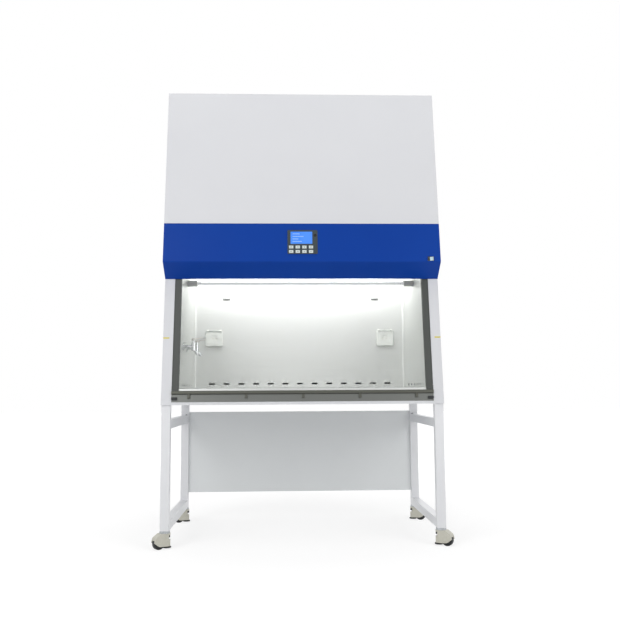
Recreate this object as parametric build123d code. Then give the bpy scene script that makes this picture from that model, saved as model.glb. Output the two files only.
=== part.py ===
"""Class II biosafety cabinet, 1300 mm wide, on a welded tube stand with levelling casters.

Millimetres. X runs to the right, Y to the back, Z up. The origin is on the floor, under the middle
of the cabinet. The front leans back, so everything on it is placed in a leaning frame: across (X),
rise up the slope from its foot, and reach out of the slope towards the user.
"""
from build123d import *
import math
import os

os.makedirs("parts", exist_ok=True)

# Cabinet envelope
cabinet_width = 1300
cabinet_depth = 760
cabinet_height = 1519
stand_height = 642
front_slant = 8

# Sheet metal and general clearances
sheet = 1.5
liner_sheet = 1.2
fit_gap = 0.2
running_gap = 0.3

# Hood: the projecting upper front, measured on the leaning frame
chin_height = 57
chin_lip = 2
nose_radius = 8
hood_reach = 96
hood_return = 25
hood_seam = 1
chin_gap = 3

# Side walls
wall_tray_depth = 47
sash_side_width = 31
liner_flange = 26
side_slot_count = 5
side_slot_first = 174
side_slot_pitch = 88
side_slot_height = 92

# Work chamber
chamber_width = 1150
rear_duct_depth = 100
work_surface = 78
chamber_height = 660
rear_bend_radius = 10
rear_liner_flange = 22
rear_liner_foot = 48
rear_slot_count = 13
rear_slot_pitch = 80
rear_slot_height = 100
air_slot_length = 33
air_slot_width = 9
rail_width = 15
rail_thickness = 2

# Work tray and front grille
tray_skirt = 20
tray_gap = 0.5
tray_side_gap = 2
tray_corner = 12
dish_border = 25
dish_depth = 4
dish_radius = 12
grille_depth = 119
grille_ledge = 30
sill_height = 65
grille_rise = 10
base_flange = 13
grille_slot_count = 37
grille_slot_pitch = 30
grille_slot_width = 6
grille_slot_length = 60

# Armrest bar
armrest_height = 15.5
armrest_drop = 1.5
armrest_depth = 9
armrest_stand_off = 1.5
armrest_end_gap = 0.5
armrest_edge = 4
bracket_count = 5
bracket_pitch = 262
bracket_width = 12
bracket_height = 19
bracket_depth = 8

# Sliding sash
glass_thickness = 6
glass_height = 570
glass_bite = 13
glass_groove_gap = 0.4
groove_depth = 15
guide_front = 4
guide_depth = 20
guide_head = 110
guide_foot_height = 20
guide_foot_reach = 5
sash_edge_height = 10
sash_edge_depth = 12
sash_seat_gap = 0.3
sash_travel = 480

# Sash lift: a shaft with two pulleys and a counterweight in the hood
lift_shaft_radius = 6
lift_bore_gap = 0.05
lift_shaft_above = 50
lift_shaft_reach = 21
pulley_radius = 40
pulley_width = 16
pulley_groove = 5
pulley_offset = 545
bearing_thickness = 15
bearing_side_gap = 4
bearing_head = 90
bearing_reach = 45
counterweight_height = 30
counterweight_drop = 20
counterweight_front = 60
counterweight_back = 25
shoe_width = 26
shoe_side_gap = 1

# Upper air system
diffuser_flange = 10
diffuser_rows = 5
diffuser_columns = 18
diffuser_hole_length = 34
diffuser_hole_width = 12
ceiling_front = 28
filter_height = 69
filter_side_gap = 2
filter_frame = 15
filter_recess = 6
exhaust_filter_length = 560
exhaust_filter_width = 360
exhaust_slot_rows = 4
exhaust_slot_columns = 20
exhaust_slot_length = 55
exhaust_slot_width = 9
exhaust_slot_pitch_x = 23
exhaust_slot_pitch_y = 70
top_flange = 15
cable_entry_across = 482
cable_entry_drop = 200
cable_entry_radius = 14
cable_entry_bore = 10

# Blower
blower_height = 1148
blower_depth = 150
blower_sheet = 2
scroll_start_radius = 140
scroll_growth = 80
blower_inlet_radius = 95
blower_outlet_width = 120
blower_outlet_drop = 200
scroll_turn = 270
scroll_step = 15
wheel_radius = 122
wheel_width = 120
wheel_hub_radius = 22
wheel_plate = 4
blade_count = 24
blade_thickness = 3
blade_inner_radius = 98
blade_turn = 12
motor_radius = 60
motor_length = 110
motor_shaft_radius = 8
motor_edge = 8
motor_flange = 15
motor_flange_thickness = 6
motor_bore_depth = 40
motor_end_gap = 2
shaft_fit = 0.05

# Lamp
lamp_radius = 8
lamp_length = 1060
lamp_depth = 340
lamp_height = 606
lamp_pin_radius = 1.2
lamp_pin_length = 7
holder_grip = 3
holder_width = 24
holder_height = 30

# Sockets with hinged clear covers
outlet_offset = 468
outlet_height = 346
outlet_width = 92
outlet_tall = 80
outlet_depth = 12
outlet_socket_radius = 20
outlet_socket_depth = 4
outlet_pin_radius = 2.4
outlet_pin_pitch = 19
cover_depth = 28
cover_wall = 2
cover_radius = 8
cover_hinge_radius = 4
cover_pin_radius = 1.5
cover_hinge_length = 60
hinge_ear = 8

# Service taps on the left wall
tap_depths = (180, 320)
tap_height = 278
tap_plate_radius = 20
tap_plate_thickness = 4
tap_neck_radius = 8
tap_reach = 50
tap_body_radius = 11
tap_body_below = 22
tap_body_above = 16
tap_bonnet_radius = 8
tap_bonnet_height = 12
tap_nozzle_radius = 5
tap_nozzle_length = 36
tap_nozzle_lean = 35
tap_barb_count = 3
tap_hub_radius = 10
tap_hub_height = 11
tap_lever_length = 46
tap_lever_width = 12
tap_lever_thickness = 5
tap_lever_rise = 8
tap_stem_radius = 3.5
tap_stem_depth = 10

# Control panel on the band
plate_width = 142
plate_height = 118
plate_rise = 751
plate_above_nose = 37
band_above_plate = 33
plate_thickness = 2.5
plate_corner = 5
plate_opening_margin = 4
display_width = 102
display_height = 60
display_across = -5
display_rise = 21
display_depth = 10
key_width = 20
key_height = 14
key_columns = 4
key_rows = 2
key_pitch_x = 31
key_pitch_y = 22
key_across = -7
key_drop = -36.5
key_flush = 0.5
key_edge = 0.7
key_collar = 1.5
key_gap = 0.4
key_travel = 1

# Rocker power switch at the right of the band
rocker_across = 603
rocker_above_nose = 14
rocker_width = 26
rocker_height = 18
rocker_depth = 9
rocker_tilt = 8
rocker_pivot_depth = 4
rocker_end_gap = 0.3
rocker_gap = 0.6

# Stand
leg_width = 40
tube_wall = 2
leg_side_inset = 2
front_leg_inset = 9
rear_leg_inset = 17
caster_height = 80
upper_rail_drop = 68
panel_bottom = 158
panel_top = 590
panel_set_back = 21
panel_flange = 18

# Levelling casters, drawn with the wheel trailing along +X from the swivel axis
mount_plate = 4
swivel_ring_radius = 24
swivel_pin_radius = 6
swivel_pin_length = 6
stud_radius = 6
stud_length = 28
wheel_tread_radius = 27
caster_wheel_width = 22
wheel_trail = 30
axle_radius = 4
axle_gap = 0.05
boss_radius = 13
housing_width = 38
housing_cap_radius = 26
housing_top = 70
housing_bottom = 13
slot_gap = 1.5
foot_offset = -12
foot_radius = 19
foot_clear = 5
foot_thickness = 6
stem_radius = 5
stem_gap = 0.1
stem_top = 66
thumb_radius = 14
thumb_bottom = 50
thumb_height = 8
thumb_flute_radius = 2
thumb_flute_count = 12
notch_gap = 1.5
foot_travel = 7.5
caster_turns = {"front_left": -145, "front_right": -35, "rear_left": -160, "rear_right": -20}

# Places that follow from the sizes above
lean = math.radians(front_slant)
nose_rise = plate_rise - plate_height / 2 - plate_above_nose
chin_rise = nose_rise - chin_height
band_top_rise = plate_rise + plate_height / 2 + band_above_plate
rocker_rise = nose_rise + rocker_above_nose
chamber_depth = cabinet_depth - rear_duct_depth
half_width = cabinet_width / 2
half_chamber = chamber_width / 2
caster_turn = math.radians(-caster_turns["front_right"])
caster_end = wheel_trail + wheel_tread_radius
caster_reach = caster_end * math.sin(caster_turn) + housing_width / 2 * math.cos(caster_turn)
nose_reach = hood_reach * math.cos(lean) - nose_rise * math.sin(lean)
caster_overhang = caster_reach - front_leg_inset - leg_width / 2 - nose_reach
middle_shift = max(caster_overhang, 0) / 2
foot_y = middle_shift - cabinet_depth / 2 + nose_reach
back_y = middle_shift + cabinet_depth / 2
top_z = stand_height + cabinet_height
tray_edge_x = half_width - wall_tray_depth
guide_inner_x = tray_edge_x - sash_side_width
guide_back = guide_front + guide_depth
work_z = stand_height + work_surface
ceiling_z = work_z + chamber_height
rear_y = foot_y + chamber_depth
skirt_z = work_z - tray_skirt
sill_z = stand_height + sill_height
seam_reach = hood_reach - hood_return
front = Plane(
    origin=(0, foot_y, stand_height),
    x_dir=(1, 0, 0),
    z_dir=(0, -math.cos(lean), math.sin(lean)),
)


def slope(rise, reach=0.0):
    """The (Y, Z) place of a point on the leaning front."""
    return (
        foot_y + rise * math.sin(lean) - reach * math.cos(lean),
        stand_height + rise * math.cos(lean) + reach * math.sin(lean),
    )


def rise_at(z, reach=0.0):
    """The rise at which the leaning front, moved out by reach, passes the height z."""
    return (z - stand_height - reach * math.sin(lean)) / math.cos(lean)


def block(x_span, y_span, z_span):
    """A box between the given low and high values."""
    size = [high - low for low, high in (x_span, y_span, z_span)]
    middle = [(high + low) / 2 for low, high in (x_span, y_span, z_span)]
    return Pos(*middle) * Box(*size)


def front_block(x_span, rise_span, reach_span):
    """A box between low and high values of the leaning frame."""
    return front * block(x_span, rise_span, reach_span)


def side_face(points):
    """A face in the YZ plane from (Y, Z) points."""
    return Plane.YZ * make_face(Polyline(*points, close=True))


def across(face, x_low, x_high):
    """A side face stretched along X between two places."""
    return Pos(x_low, 0, 0) * extrude(face, amount=x_high - x_low, dir=(1, 0, 0))


def moved_path(path, distance):
    """The open path moved to its left, with mitred corners."""
    normals = []
    for (a0, b0), (a1, b1) in zip(path, path[1:]):
        run = math.hypot(a1 - a0, b1 - b0)
        normals.append(((b0 - b1) / run, (a1 - a0) / run))
    moved = []
    for i, (a, b) in enumerate(path):
        n0 = normals[max(i - 1, 0)]
        n1 = normals[min(i, len(normals) - 1)]
        scale = distance / (1 + n0[0] * n1[0] + n0[1] * n1[1])
        moved.append((a + (n0[0] + n1[0]) * scale, b + (n0[1] + n1[1]) * scale))
    return moved


def folded_sheet(path, thickness, x_low, x_high):
    """A sheet folded along an open path, its thickness on the path's left."""
    outline = list(path) + moved_path(path, thickness)[::-1]
    return across(side_face(outline), x_low, x_high)


def inset(face, amount):
    """The same face with every side moved inwards."""
    return offset(face, amount=-amount, kind=Kind.INTERSECTION)


def rod(radius, height):
    """An upright cylinder that stands on its base point."""
    return Cylinder(radius, height, align=(Align.CENTER, Align.CENTER, Align.MIN))


def both_sides(shape):
    """A shape on the right and its mirror image on the left."""
    return [shape, mirror(shape, about=Plane.YZ)]


def edges_along_x(shape, y, z, reach=0.5):
    """The edges parallel to X that pass near the place (y, z)."""
    return [
        e for e in shape.edges().filter_by(Axis.X)
        if abs(e.center().Y - y) < reach and abs(e.center().Z - z) < reach
    ]


def obround_prism(length, width, height):
    """A slot cutter, long along X, centred."""
    return extrude(SlotOverall(length, width), amount=height / 2, both=True)


parts = {}


def stand_frame():
    """The right side frame of the stand: two legs and two rails of square tube."""
    outer_x = half_width - leg_side_inset
    x_span = (outer_x - leg_width, outer_x)
    front_y = foot_y + front_leg_inset
    rear_end = back_y - rear_leg_inset

    def tube(y_span, z_span, along):
        solid = block(x_span, y_span, z_span)
        hollow_x = (x_span[0] + tube_wall, x_span[1] - tube_wall)
        if along == "z":
            hollow_y = (y_span[0] + tube_wall, y_span[1] - tube_wall)
            return solid - block(hollow_x, hollow_y, z_span)
        hollow_z = (z_span[0] + tube_wall, z_span[1] - tube_wall)
        return solid - block(hollow_x, y_span, hollow_z)

    leg_z = (caster_height, stand_height)
    front_leg = tube((front_y, front_y + leg_width), leg_z, "z")
    rear_leg = tube((rear_end - leg_width, rear_end), leg_z, "z")
    rail_y = (front_y + leg_width, rear_end - leg_width)
    upper_z = stand_height - upper_rail_drop
    upper_rail = tube(rail_y, (upper_z - leg_width, upper_z), "y")
    lower_rail = tube(rail_y, (caster_height, caster_height + leg_width), "y")
    return [front_leg, rear_leg, upper_rail, lower_rail]


def build_stand():
    right = stand_frame()
    parts["stand_right"] = Compound(children=right)
    parts["stand_left"] = Compound(children=[mirror(s, about=Plane.YZ) for s in stand_frame()])
    half = half_width - leg_side_inset - leg_width
    panel_y = back_y - rear_leg_inset - leg_width + panel_set_back
    outer = block((-half, half), (panel_y, panel_y + panel_flange), (panel_bottom, panel_top))
    hollow = block(
        (-half + liner_sheet, half - liner_sheet),
        (panel_y + liner_sheet, panel_y + panel_flange),
        (panel_bottom + liner_sheet, panel_top - liner_sheet),
    )
    parts["knee_panel"] = outer - hollow


def caster_centres():
    """The swivel axes, at the middles of the four leg feet."""
    x = half_width - leg_side_inset - leg_width / 2
    y_front = foot_y + front_leg_inset + leg_width / 2
    y_rear = back_y - rear_leg_inset - leg_width / 2
    return {
        "front_left": (-x, y_front), "front_right": (x, y_front),
        "rear_left": (-x, y_rear), "rear_right": (x, y_rear),
    }


def caster_plate():
    """The fixed top of a caster: square plate, black swivel ring and threaded stud."""
    plate_z = caster_height - mount_plate
    ring_z = housing_top + running_gap
    half = leg_width / 2
    plate = block((-half, half), (-half, half), (plate_z, caster_height))
    ring = Pos(0, 0, ring_z) * rod(swivel_ring_radius, plate_z - ring_z)
    stud = Pos(0, 0, caster_height) * rod(stud_radius, stud_length)
    bore = Pos(0, 0, ring_z) * rod(swivel_pin_radius + axle_gap, swivel_pin_length + running_gap)
    return plate + ring + stud - bore


def caster_housing():
    """The cast housing: a cap under the leg, two cheeks round the wheel and a web for the foot."""
    half = housing_width / 2
    brow = (wheel_trail + wheel_tread_radius * 0.8, wheel_tread_radius * 1.95)
    cheek = make_face(Polyline(
        (-housing_cap_radius, housing_top),
        (housing_cap_radius, housing_top),
        brow,
        (caster_end, wheel_tread_radius * 1.2),
        (wheel_trail + boss_radius, wheel_tread_radius - boss_radius / 2),
        (wheel_trail, wheel_tread_radius - boss_radius),
        (foot_offset + foot_radius, housing_bottom),
        (-housing_cap_radius, housing_bottom),
        close=True,
    ))
    cheek = fillet(cheek.vertices().sort_by_distance(brow)[0], boss_radius)
    body = extrude(Plane.XZ * cheek, amount=half, both=True)
    plan = rod(housing_cap_radius, housing_top) + block((0, caster_end), (-half, half), (0, housing_top))
    body = body & plan
    slot_half = caster_wheel_width / 2 + slot_gap
    slot_radius = wheel_tread_radius + slot_gap
    axle_place = Pos(wheel_trail, 0, wheel_tread_radius) * Rot(90, 0, 0)
    body -= axle_place * Cylinder(slot_radius, 2 * slot_half)
    body -= block((wheel_trail, 2 * caster_end), (-slot_half, slot_half), (0, slot_radius))
    notch_bottom = thumb_bottom - foot_travel - notch_gap
    notch_height = thumb_bottom + thumb_height + 2 * notch_gap - notch_bottom
    notch = Pos(foot_offset, 0, notch_bottom) * rod(thumb_radius + notch_gap, notch_height)
    notch_span = (notch_bottom, notch_bottom + notch_height)
    notch += block((-caster_end, foot_offset), (-half - 1, half + 1), notch_span)
    body -= notch
    body -= Pos(foot_offset, 0, 0) * rod(stem_radius + stem_gap, stem_top + running_gap)
    axle = axle_place * Cylinder(axle_radius, housing_width)
    return body + axle + Pos(0, 0, housing_top) * rod(swivel_pin_radius, swivel_pin_length)


def caster_wheel():
    """The black nylon wheel, with a shallow groove round the tread and dished sides."""
    half = caster_wheel_width / 2
    section = make_face(Polyline(
        (axle_radius + axle_gap, -half), (12, -half), (14, -half + 3), (20, -half + 3), (22, -half),
        (wheel_tread_radius - 3, -half), (wheel_tread_radius, -half + 3), (wheel_tread_radius, -2),
        (wheel_tread_radius - 1.5, -1), (wheel_tread_radius - 1.5, 1), (wheel_tread_radius, 2),
        (wheel_tread_radius, half - 3), (wheel_tread_radius - 3, half), (22, half), (20, half - 3),
        (14, half - 3), (12, half), (axle_radius + axle_gap, half), close=True,
    ))
    wheel = revolve(section, axis=Axis.Y)
    return Pos(wheel_trail, 0, wheel_tread_radius) * wheel


def levelling_foot():
    """The screw foot: rubber pad, stem and the thumbwheel that turns it down."""
    pad = Pos(0, 0, foot_clear) * rod(foot_radius, foot_thickness)
    pad = chamfer(pad.edges().sort_by(Axis.Z)[-1], foot_thickness / 3)
    stem = Pos(0, 0, foot_clear) * rod(stem_radius, stem_top - foot_clear)
    thumb = Pos(0, 0, thumb_bottom) * rod(thumb_radius, thumb_height)
    flute = Pos(thumb_radius + thumb_flute_radius / 2, 0, thumb_bottom) * rod(thumb_flute_radius, thumb_height)
    for i in range(thumb_flute_count):
        thumb -= Rot(0, 0, i * 360 / thumb_flute_count) * flute
    return Pos(foot_offset, 0, 0) * (pad + stem + thumb)


def build_casters():
    plates = []
    for corner, (x, y) in caster_centres().items():
        place = Pos(x, y, 0) * Rot(0, 0, caster_turns[corner])
        parts[f"caster_housing_{corner}"] = place * caster_housing()
        parts[f"caster_wheel_{corner}"] = place * caster_wheel()
        parts[f"levelling_foot_{corner}"] = place * levelling_foot()
        plates.append(Pos(x, y, 0) * caster_plate())
    parts["caster_plates"] = Compound(children=plates)


def build_side_panels():
    """Painted outer wall: a tray that opens inwards, with the post face and the hood's side."""
    seam = seam_reach - running_gap
    chin_slope = (nose_rise - chin_rise) / (hood_reach - chin_lip)
    outline = side_face([
        (foot_y, stand_height),
        slope(chin_rise + chin_gap - chin_lip * chin_slope, 0),
        slope(chin_rise + chin_gap + (seam - chin_lip) * chin_slope, seam),
        slope(rise_at(top_z, seam), seam),
        (back_y, top_z),
        (back_y, stand_height),
    ])
    tray = across(outline, tray_edge_x, half_width)
    tray -= across(inset(outline, sheet), tray_edge_x - 1, half_width - sheet)
    parts["side_panel_right"], parts["side_panel_left"] = both_sides(tray)


def hood_ends(region):
    """The two flat side returns of a hood shell."""
    return both_sides(across(side_face(region), half_width - sheet, half_width))


def build_hood():
    """The blue control band with its rounded nose, and the light cover above it."""
    chin_slope = (nose_rise - chin_rise) / (hood_reach - chin_lip)
    seam_chin = slope(chin_rise + (seam_reach - chin_lip) * chin_slope, seam_reach)
    nose = slope(nose_rise, hood_reach)
    band_top = slope(band_top_rise - hood_seam / 2, hood_reach)
    band_path = [band_top, nose, slope(chin_rise, chin_lip)]
    band = folded_sheet(band_path, sheet, -half_width, half_width)
    inner_nose = moved_path(band_path, sheet)[1]
    band = fillet(edges_along_x(band, *nose), nose_radius)
    band = fillet(edges_along_x(band, *inner_nose), nose_radius - sheet)
    ends = hood_ends([band_top, nose, seam_chin, slope(band_top_rise - hood_seam / 2, seam_reach)])
    for end in ends:
        band += fillet(edges_along_x(end, *nose), nose_radius)
    opening_x = plate_width / 2 - plate_opening_margin
    opening_y = plate_height / 2 - plate_opening_margin
    band -= front_block(
        (-opening_x, opening_x), (plate_rise - opening_y, plate_rise + opening_y),
        (hood_reach - 2 * sheet, hood_reach + sheet))
    band -= front_block(
        (rocker_across - rocker_width / 2 - rocker_gap, rocker_across + rocker_width / 2 + rocker_gap),
        (rocker_rise - rocker_height / 2 - rocker_gap, rocker_rise + rocker_height / 2 + rocker_gap),
        (hood_reach - 2 * sheet, hood_reach + sheet))
    parts["control_band"] = band

    top_corner = slope(rise_at(top_z, hood_reach), hood_reach)
    top_seam = slope(rise_at(top_z, seam_reach), seam_reach)
    cover_foot = slope(band_top_rise + hood_seam / 2, hood_reach)
    cover = folded_sheet([top_seam, top_corner, cover_foot], sheet, -half_width, half_width)
    foot_back = slope(band_top_rise + hood_seam / 2, seam_reach)
    for end in hood_ends([top_seam, top_corner, cover_foot, foot_back]):
        cover += end
    parts["front_cover"] = cover


def build_shell():
    """Base pan, back panel and the slotted top panel, all between the two side trays."""
    edge = tray_edge_x - running_gap
    inner_back = back_y - sheet - fit_gap
    base_top = stand_height + base_flange
    outline = side_face([
        (foot_y, stand_height), slope(rise_at(base_top), 0),
        (inner_back, base_top), (inner_back, stand_height),
    ])
    hollow = side_face([
        (foot_y + sheet, stand_height + sheet), slope(rise_at(base_top + sheet), -sheet),
        (inner_back - sheet, base_top + sheet), (inner_back - sheet, stand_height + sheet),
    ])
    parts["base_pan"] = across(outline, -edge, edge) - across(hollow, -edge + sheet, edge - sheet)

    back = block((-edge, edge), (back_y - sheet, back_y), (stand_height, top_z - sheet - fit_gap))
    entry_place = Pos(cable_entry_across, back_y, top_z - cable_entry_drop) * Rot(90, 0, 0)
    cable_entry = entry_place * Cylinder(cable_entry_radius, cable_entry_bore)
    parts["back_panel"] = back - cable_entry

    front_edge = slope(rise_at(top_z, seam_reach), seam_reach)[0] + fit_gap
    top = block((-edge, edge), (front_edge, back_y), (top_z - sheet, top_z))
    skirt_low = top_z - sheet - top_flange
    top += block((-edge, edge), (front_edge, front_edge + sheet), (skirt_low, top_z - sheet))
    for sign in (-1, 1):
        side = sorted((sign * edge, sign * (edge - sheet)))
        top += block(side, (front_edge, inner_back), (skirt_low, top_z - sheet))
    slot = Rot(0, 0, 90) * obround_prism(exhaust_slot_length, exhaust_slot_width, 4 * sheet)
    middle_y = exhaust_filter_y()
    pitch = (exhaust_slot_pitch_x, exhaust_slot_pitch_y)
    for place in GridLocations(*pitch, exhaust_slot_columns, exhaust_slot_rows):
        top -= Pos(0, middle_y, top_z) * place * slot
    parts["top_panel"] = top


def exhaust_filter_y():
    """The middle of the exhaust filter, between the plenum's front wall and its back."""
    plenum_top_front = slope(rise_at(top_z - filter_height, -ceiling_front), -ceiling_front)[0]
    return (plenum_top_front + rear_y) / 2


def build_liners():
    """Stainless side walls, open towards the outer walls, and the rear wall with rounded corners."""
    inner_back = back_y - 2 * (sheet + fit_gap)
    low = stand_height + sheet
    high = ceiling_z + running_gap + diffuser_flange
    face_reach = -guide_back - fit_gap
    outline = side_face([
        slope(rise_at(low, face_reach), face_reach), slope(rise_at(high, face_reach), face_reach),
        (inner_back, high), (inner_back, low),
    ])
    wall = across(outline, half_chamber, half_chamber + liner_flange)
    wall -= across(inset(outline, liner_sheet), half_chamber + liner_sheet, half_chamber + liner_flange + 1)
    rail_y = (slope(rise_at(skirt_z), face_reach)[0] + rail_width, rear_y - rear_liner_flange - 2)
    wall += block((half_chamber - rail_width, half_chamber), rail_y, (skirt_z - rail_thickness, skirt_z))
    slot = Rot(0, 0, 90) * Rot(90, 0, 0) * obround_prism(air_slot_length, air_slot_width, 6 * liner_sheet)
    for i in range(side_slot_count):
        slot_y = foot_y + side_slot_first + i * side_slot_pitch
        wall -= Pos(half_chamber, slot_y, stand_height + side_slot_height) * slot
    parts["side_liner_right"], parts["side_liner_left"] = both_sides(wall)

    half = half_chamber - fit_gap
    foot = stand_height + rear_liner_foot
    flange_front = rear_y - rear_liner_flange
    outer = block((-half, half), (flange_front, rear_y + liner_sheet), (foot, ceiling_z))
    bends = outer.edges().filter_by(Axis.Z).sort_by(Axis.Y)[-2:]
    outer = fillet(bends, rear_bend_radius + liner_sheet)
    inner = half - liner_sheet
    hollow = block((-inner, inner), (flange_front - 1, rear_y), (foot - 1, ceiling_z + 1))
    hollow = fillet(hollow.edges().filter_by(Axis.Z).sort_by(Axis.Y)[-2:], rear_bend_radius)
    rear = outer - hollow
    slot = Rot(90, 0, 0) * obround_prism(air_slot_length, air_slot_width, 6 * liner_sheet)
    for place in GridLocations(rear_slot_pitch, 1, rear_slot_count, 1):
        rear -= Pos(0, rear_y, stand_height + rear_slot_height) * place * slot
    parts["rear_liner"] = rear


def build_work_floor():
    """The slotted front grille with its apron, and the dished work tray behind it."""
    edge = tray_edge_x - running_gap
    grille_back = foot_y + grille_depth
    ledge_back = slope(rise_at(sill_z), -grille_ledge)[0]
    path = [
        (grille_back, skirt_z + fit_gap), (grille_back, sill_z + grille_rise), (ledge_back, sill_z),
        slope(rise_at(sill_z), 0), slope(rise_at(stand_height + base_flange + 2 * fit_gap), 0),
    ]
    grille = folded_sheet(path, sheet, -edge, edge)
    behind = guide_back - fit_gap
    for sign in (-1, 1):
        side = sorted((sign * (half_chamber - fit_gap), sign * (edge + 1)))
        grille -= front_block(side, (-50, 150), (-2 * grille_depth, -behind))
    slot_y = (ledge_back + grille_back) / 2
    slot = Rot(0, 0, 90) * obround_prism(grille_slot_length, grille_slot_width, 6 * grille_rise)
    for place in GridLocations(grille_slot_pitch, 1, grille_slot_count, 1):
        grille -= Pos(0, slot_y, sill_z) * place * slot
    parts["front_grille"] = grille

    half = half_chamber - tray_side_gap
    y_span = (grille_back + tray_gap, rear_y - tray_gap)
    dish_x = (-half + dish_border, half - dish_border)
    dish_y = (y_span[0] + dish_border, y_span[1] - dish_border)
    tray = block((-half, half), y_span, (skirt_z, work_z))
    tray = fillet(tray.edges().filter_by(Axis.Z), tray_corner)
    inner = half - sheet
    under = block((-inner, inner), (y_span[0] + sheet, y_span[1] - sheet), (skirt_z, work_z - sheet))
    tray -= fillet(under.edges().filter_by(Axis.Z), tray_corner - sheet)
    floor_z = work_z - dish_depth
    grown_x = (dish_x[0] - sheet, dish_x[1] + sheet)
    grown_y = (dish_y[0] - sheet, dish_y[1] + sheet)
    pan = block(grown_x, grown_y, (floor_z - sheet, work_z))
    tray += fillet(pan.edges().filter_by(Axis.Z), dish_radius + sheet)
    dish = block(dish_x, dish_y, (floor_z, work_z + 1))
    parts["work_tray"] = tray - fillet(dish.edges().filter_by(Axis.Z), dish_radius)


def build_armrest():
    """The stainless bar in front of the sill, on five welded brackets."""
    high = rise_at(sill_z - armrest_drop)
    low = high - armrest_height
    half = tray_edge_x - armrest_end_gap
    reach_span = (armrest_stand_off, armrest_stand_off + armrest_depth)
    bar = front_block((-half, half), (low, high), reach_span)
    bar = fillet(bar.edges().filter_by(Axis.X).sort_by(Axis.Y)[:2], armrest_edge)
    for place in GridLocations(bracket_pitch, 1, bracket_count, 1):
        x = place.position.X
        bar += front_block(
            (x - bracket_width / 2, x + bracket_width / 2), (low - bracket_height, low), (0, bracket_depth))
    parts["armrest"] = bar


def guide_end():
    """The rise of the guides' upper end: room for the raised glass, and a little more."""
    return rise_at(sill_z) + glass_height + sash_travel + guide_head


def lift_axis():
    """The lift shaft's middle, with its length turned along X."""
    return front * Pos(0, guide_end() + lift_shaft_above, lift_shaft_reach) * Rot(0, 90, 0)


def build_sash():
    """The glass in its two guides, with a steel edge along its foot."""
    seat_z = sill_z + sash_seat_gap
    seat = rise_at(seat_z)
    under_seat = block((-half_width, half_width), (foot_y - hood_reach, rear_y), (stand_height, seat_z))
    glass_front = -(guide_front + (guide_depth - glass_thickness) / 2)
    glass_span = (glass_front - glass_thickness, glass_front)
    half_glass = guide_inner_x + glass_bite
    bite = sash_edge_height * 0.7
    glass_low = seat + sash_edge_height - bite
    parts["sash_glass"] = front_block(
        (-half_glass, half_glass), (glass_low, glass_low + glass_height), glass_span)
    half_edge = guide_inner_x - running_gap
    middle = sum(glass_span) / 2
    edge = front_block(
        (-half_edge, half_edge), (seat, seat + sash_edge_height),
        (middle - sash_edge_depth / 2, middle + sash_edge_depth / 2))
    edge -= front_block((-half_edge, half_edge), (glass_low, seat + sash_edge_height + 1), glass_span)
    parts["sash_edge"] = edge - under_seat

    x_span = (guide_inner_x, tray_edge_x)
    guide_length = guide_end()
    guide = front_block(x_span, (seat, guide_length), (-guide_back, -guide_front))
    guide -= front_block(
        (guide_inner_x, guide_inner_x + groove_depth), (seat, guide_length),
        (glass_span[0] - glass_groove_gap, glass_span[1] + glass_groove_gap))
    foot_span = (-guide_front, guide_foot_reach - guide_front)
    guide += front_block(x_span, (seat, seat + guide_foot_height), foot_span)
    bearing_x = (tray_edge_x - bearing_side_gap - bearing_thickness, tray_edge_x - bearing_side_gap)
    bearing_span = (guide_length - bearing_thickness, guide_length + bearing_head)
    bearing = front_block(bearing_x, bearing_span, (-guide_back, bearing_reach))
    bore = lift_axis() * Cylinder(lift_shaft_radius + lift_bore_gap, cabinet_width)
    parts["sash_guides"] = Compound(children=both_sides(guide + bearing - bore - under_seat))


def build_sash_lift():
    """Shaft with two grooved pulleys, and the counterweight that slides before the guides."""
    x_end = tray_edge_x - bearing_side_gap
    axis = lift_axis()
    shaft = axis * Cylinder(lift_shaft_radius, 2 * x_end)
    half = pulley_width / 2
    section = make_face(Polyline(
        (0, -half), (pulley_radius, -half), (pulley_radius - pulley_groove, 0),
        (pulley_radius, half), (0, half), close=True,
    ))
    pulley = Rot(90, 0, 0) * revolve(section, axis=Axis.Y)
    for sign in (-1, 1):
        shaft += axis * Pos(0, 0, sign * pulley_offset) * pulley
    parts["lift_shaft"] = shaft

    shoe_outer = tray_edge_x - shoe_side_gap
    weight_top = guide_end() - bearing_thickness - counterweight_drop
    rise_span = (weight_top - counterweight_height, weight_top)
    bar = front_block((-shoe_outer, shoe_outer), rise_span, (counterweight_back, counterweight_front))
    for sign in (-1, 1):
        shoe = sorted((sign * shoe_outer, sign * (shoe_outer - shoe_width)))
        bar += front_block(shoe, rise_span, (running_gap - guide_front, counterweight_front))
    parts["counterweight"] = bar


def filter_block(x_half, y_span, z_low):
    """A framed filter pack with its media set back on both faces."""
    z_high = z_low + filter_height
    pack = block((-x_half, x_half), y_span, (z_low, z_high))
    pocket_x = (-x_half + filter_frame, x_half - filter_frame)
    pocket_y = (y_span[0] + filter_frame, y_span[1] - filter_frame)
    pack -= block(pocket_x, pocket_y, (z_low, z_low + filter_recess))
    return pack - block(pocket_x, pocket_y, (z_high - filter_recess, z_high))


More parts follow.
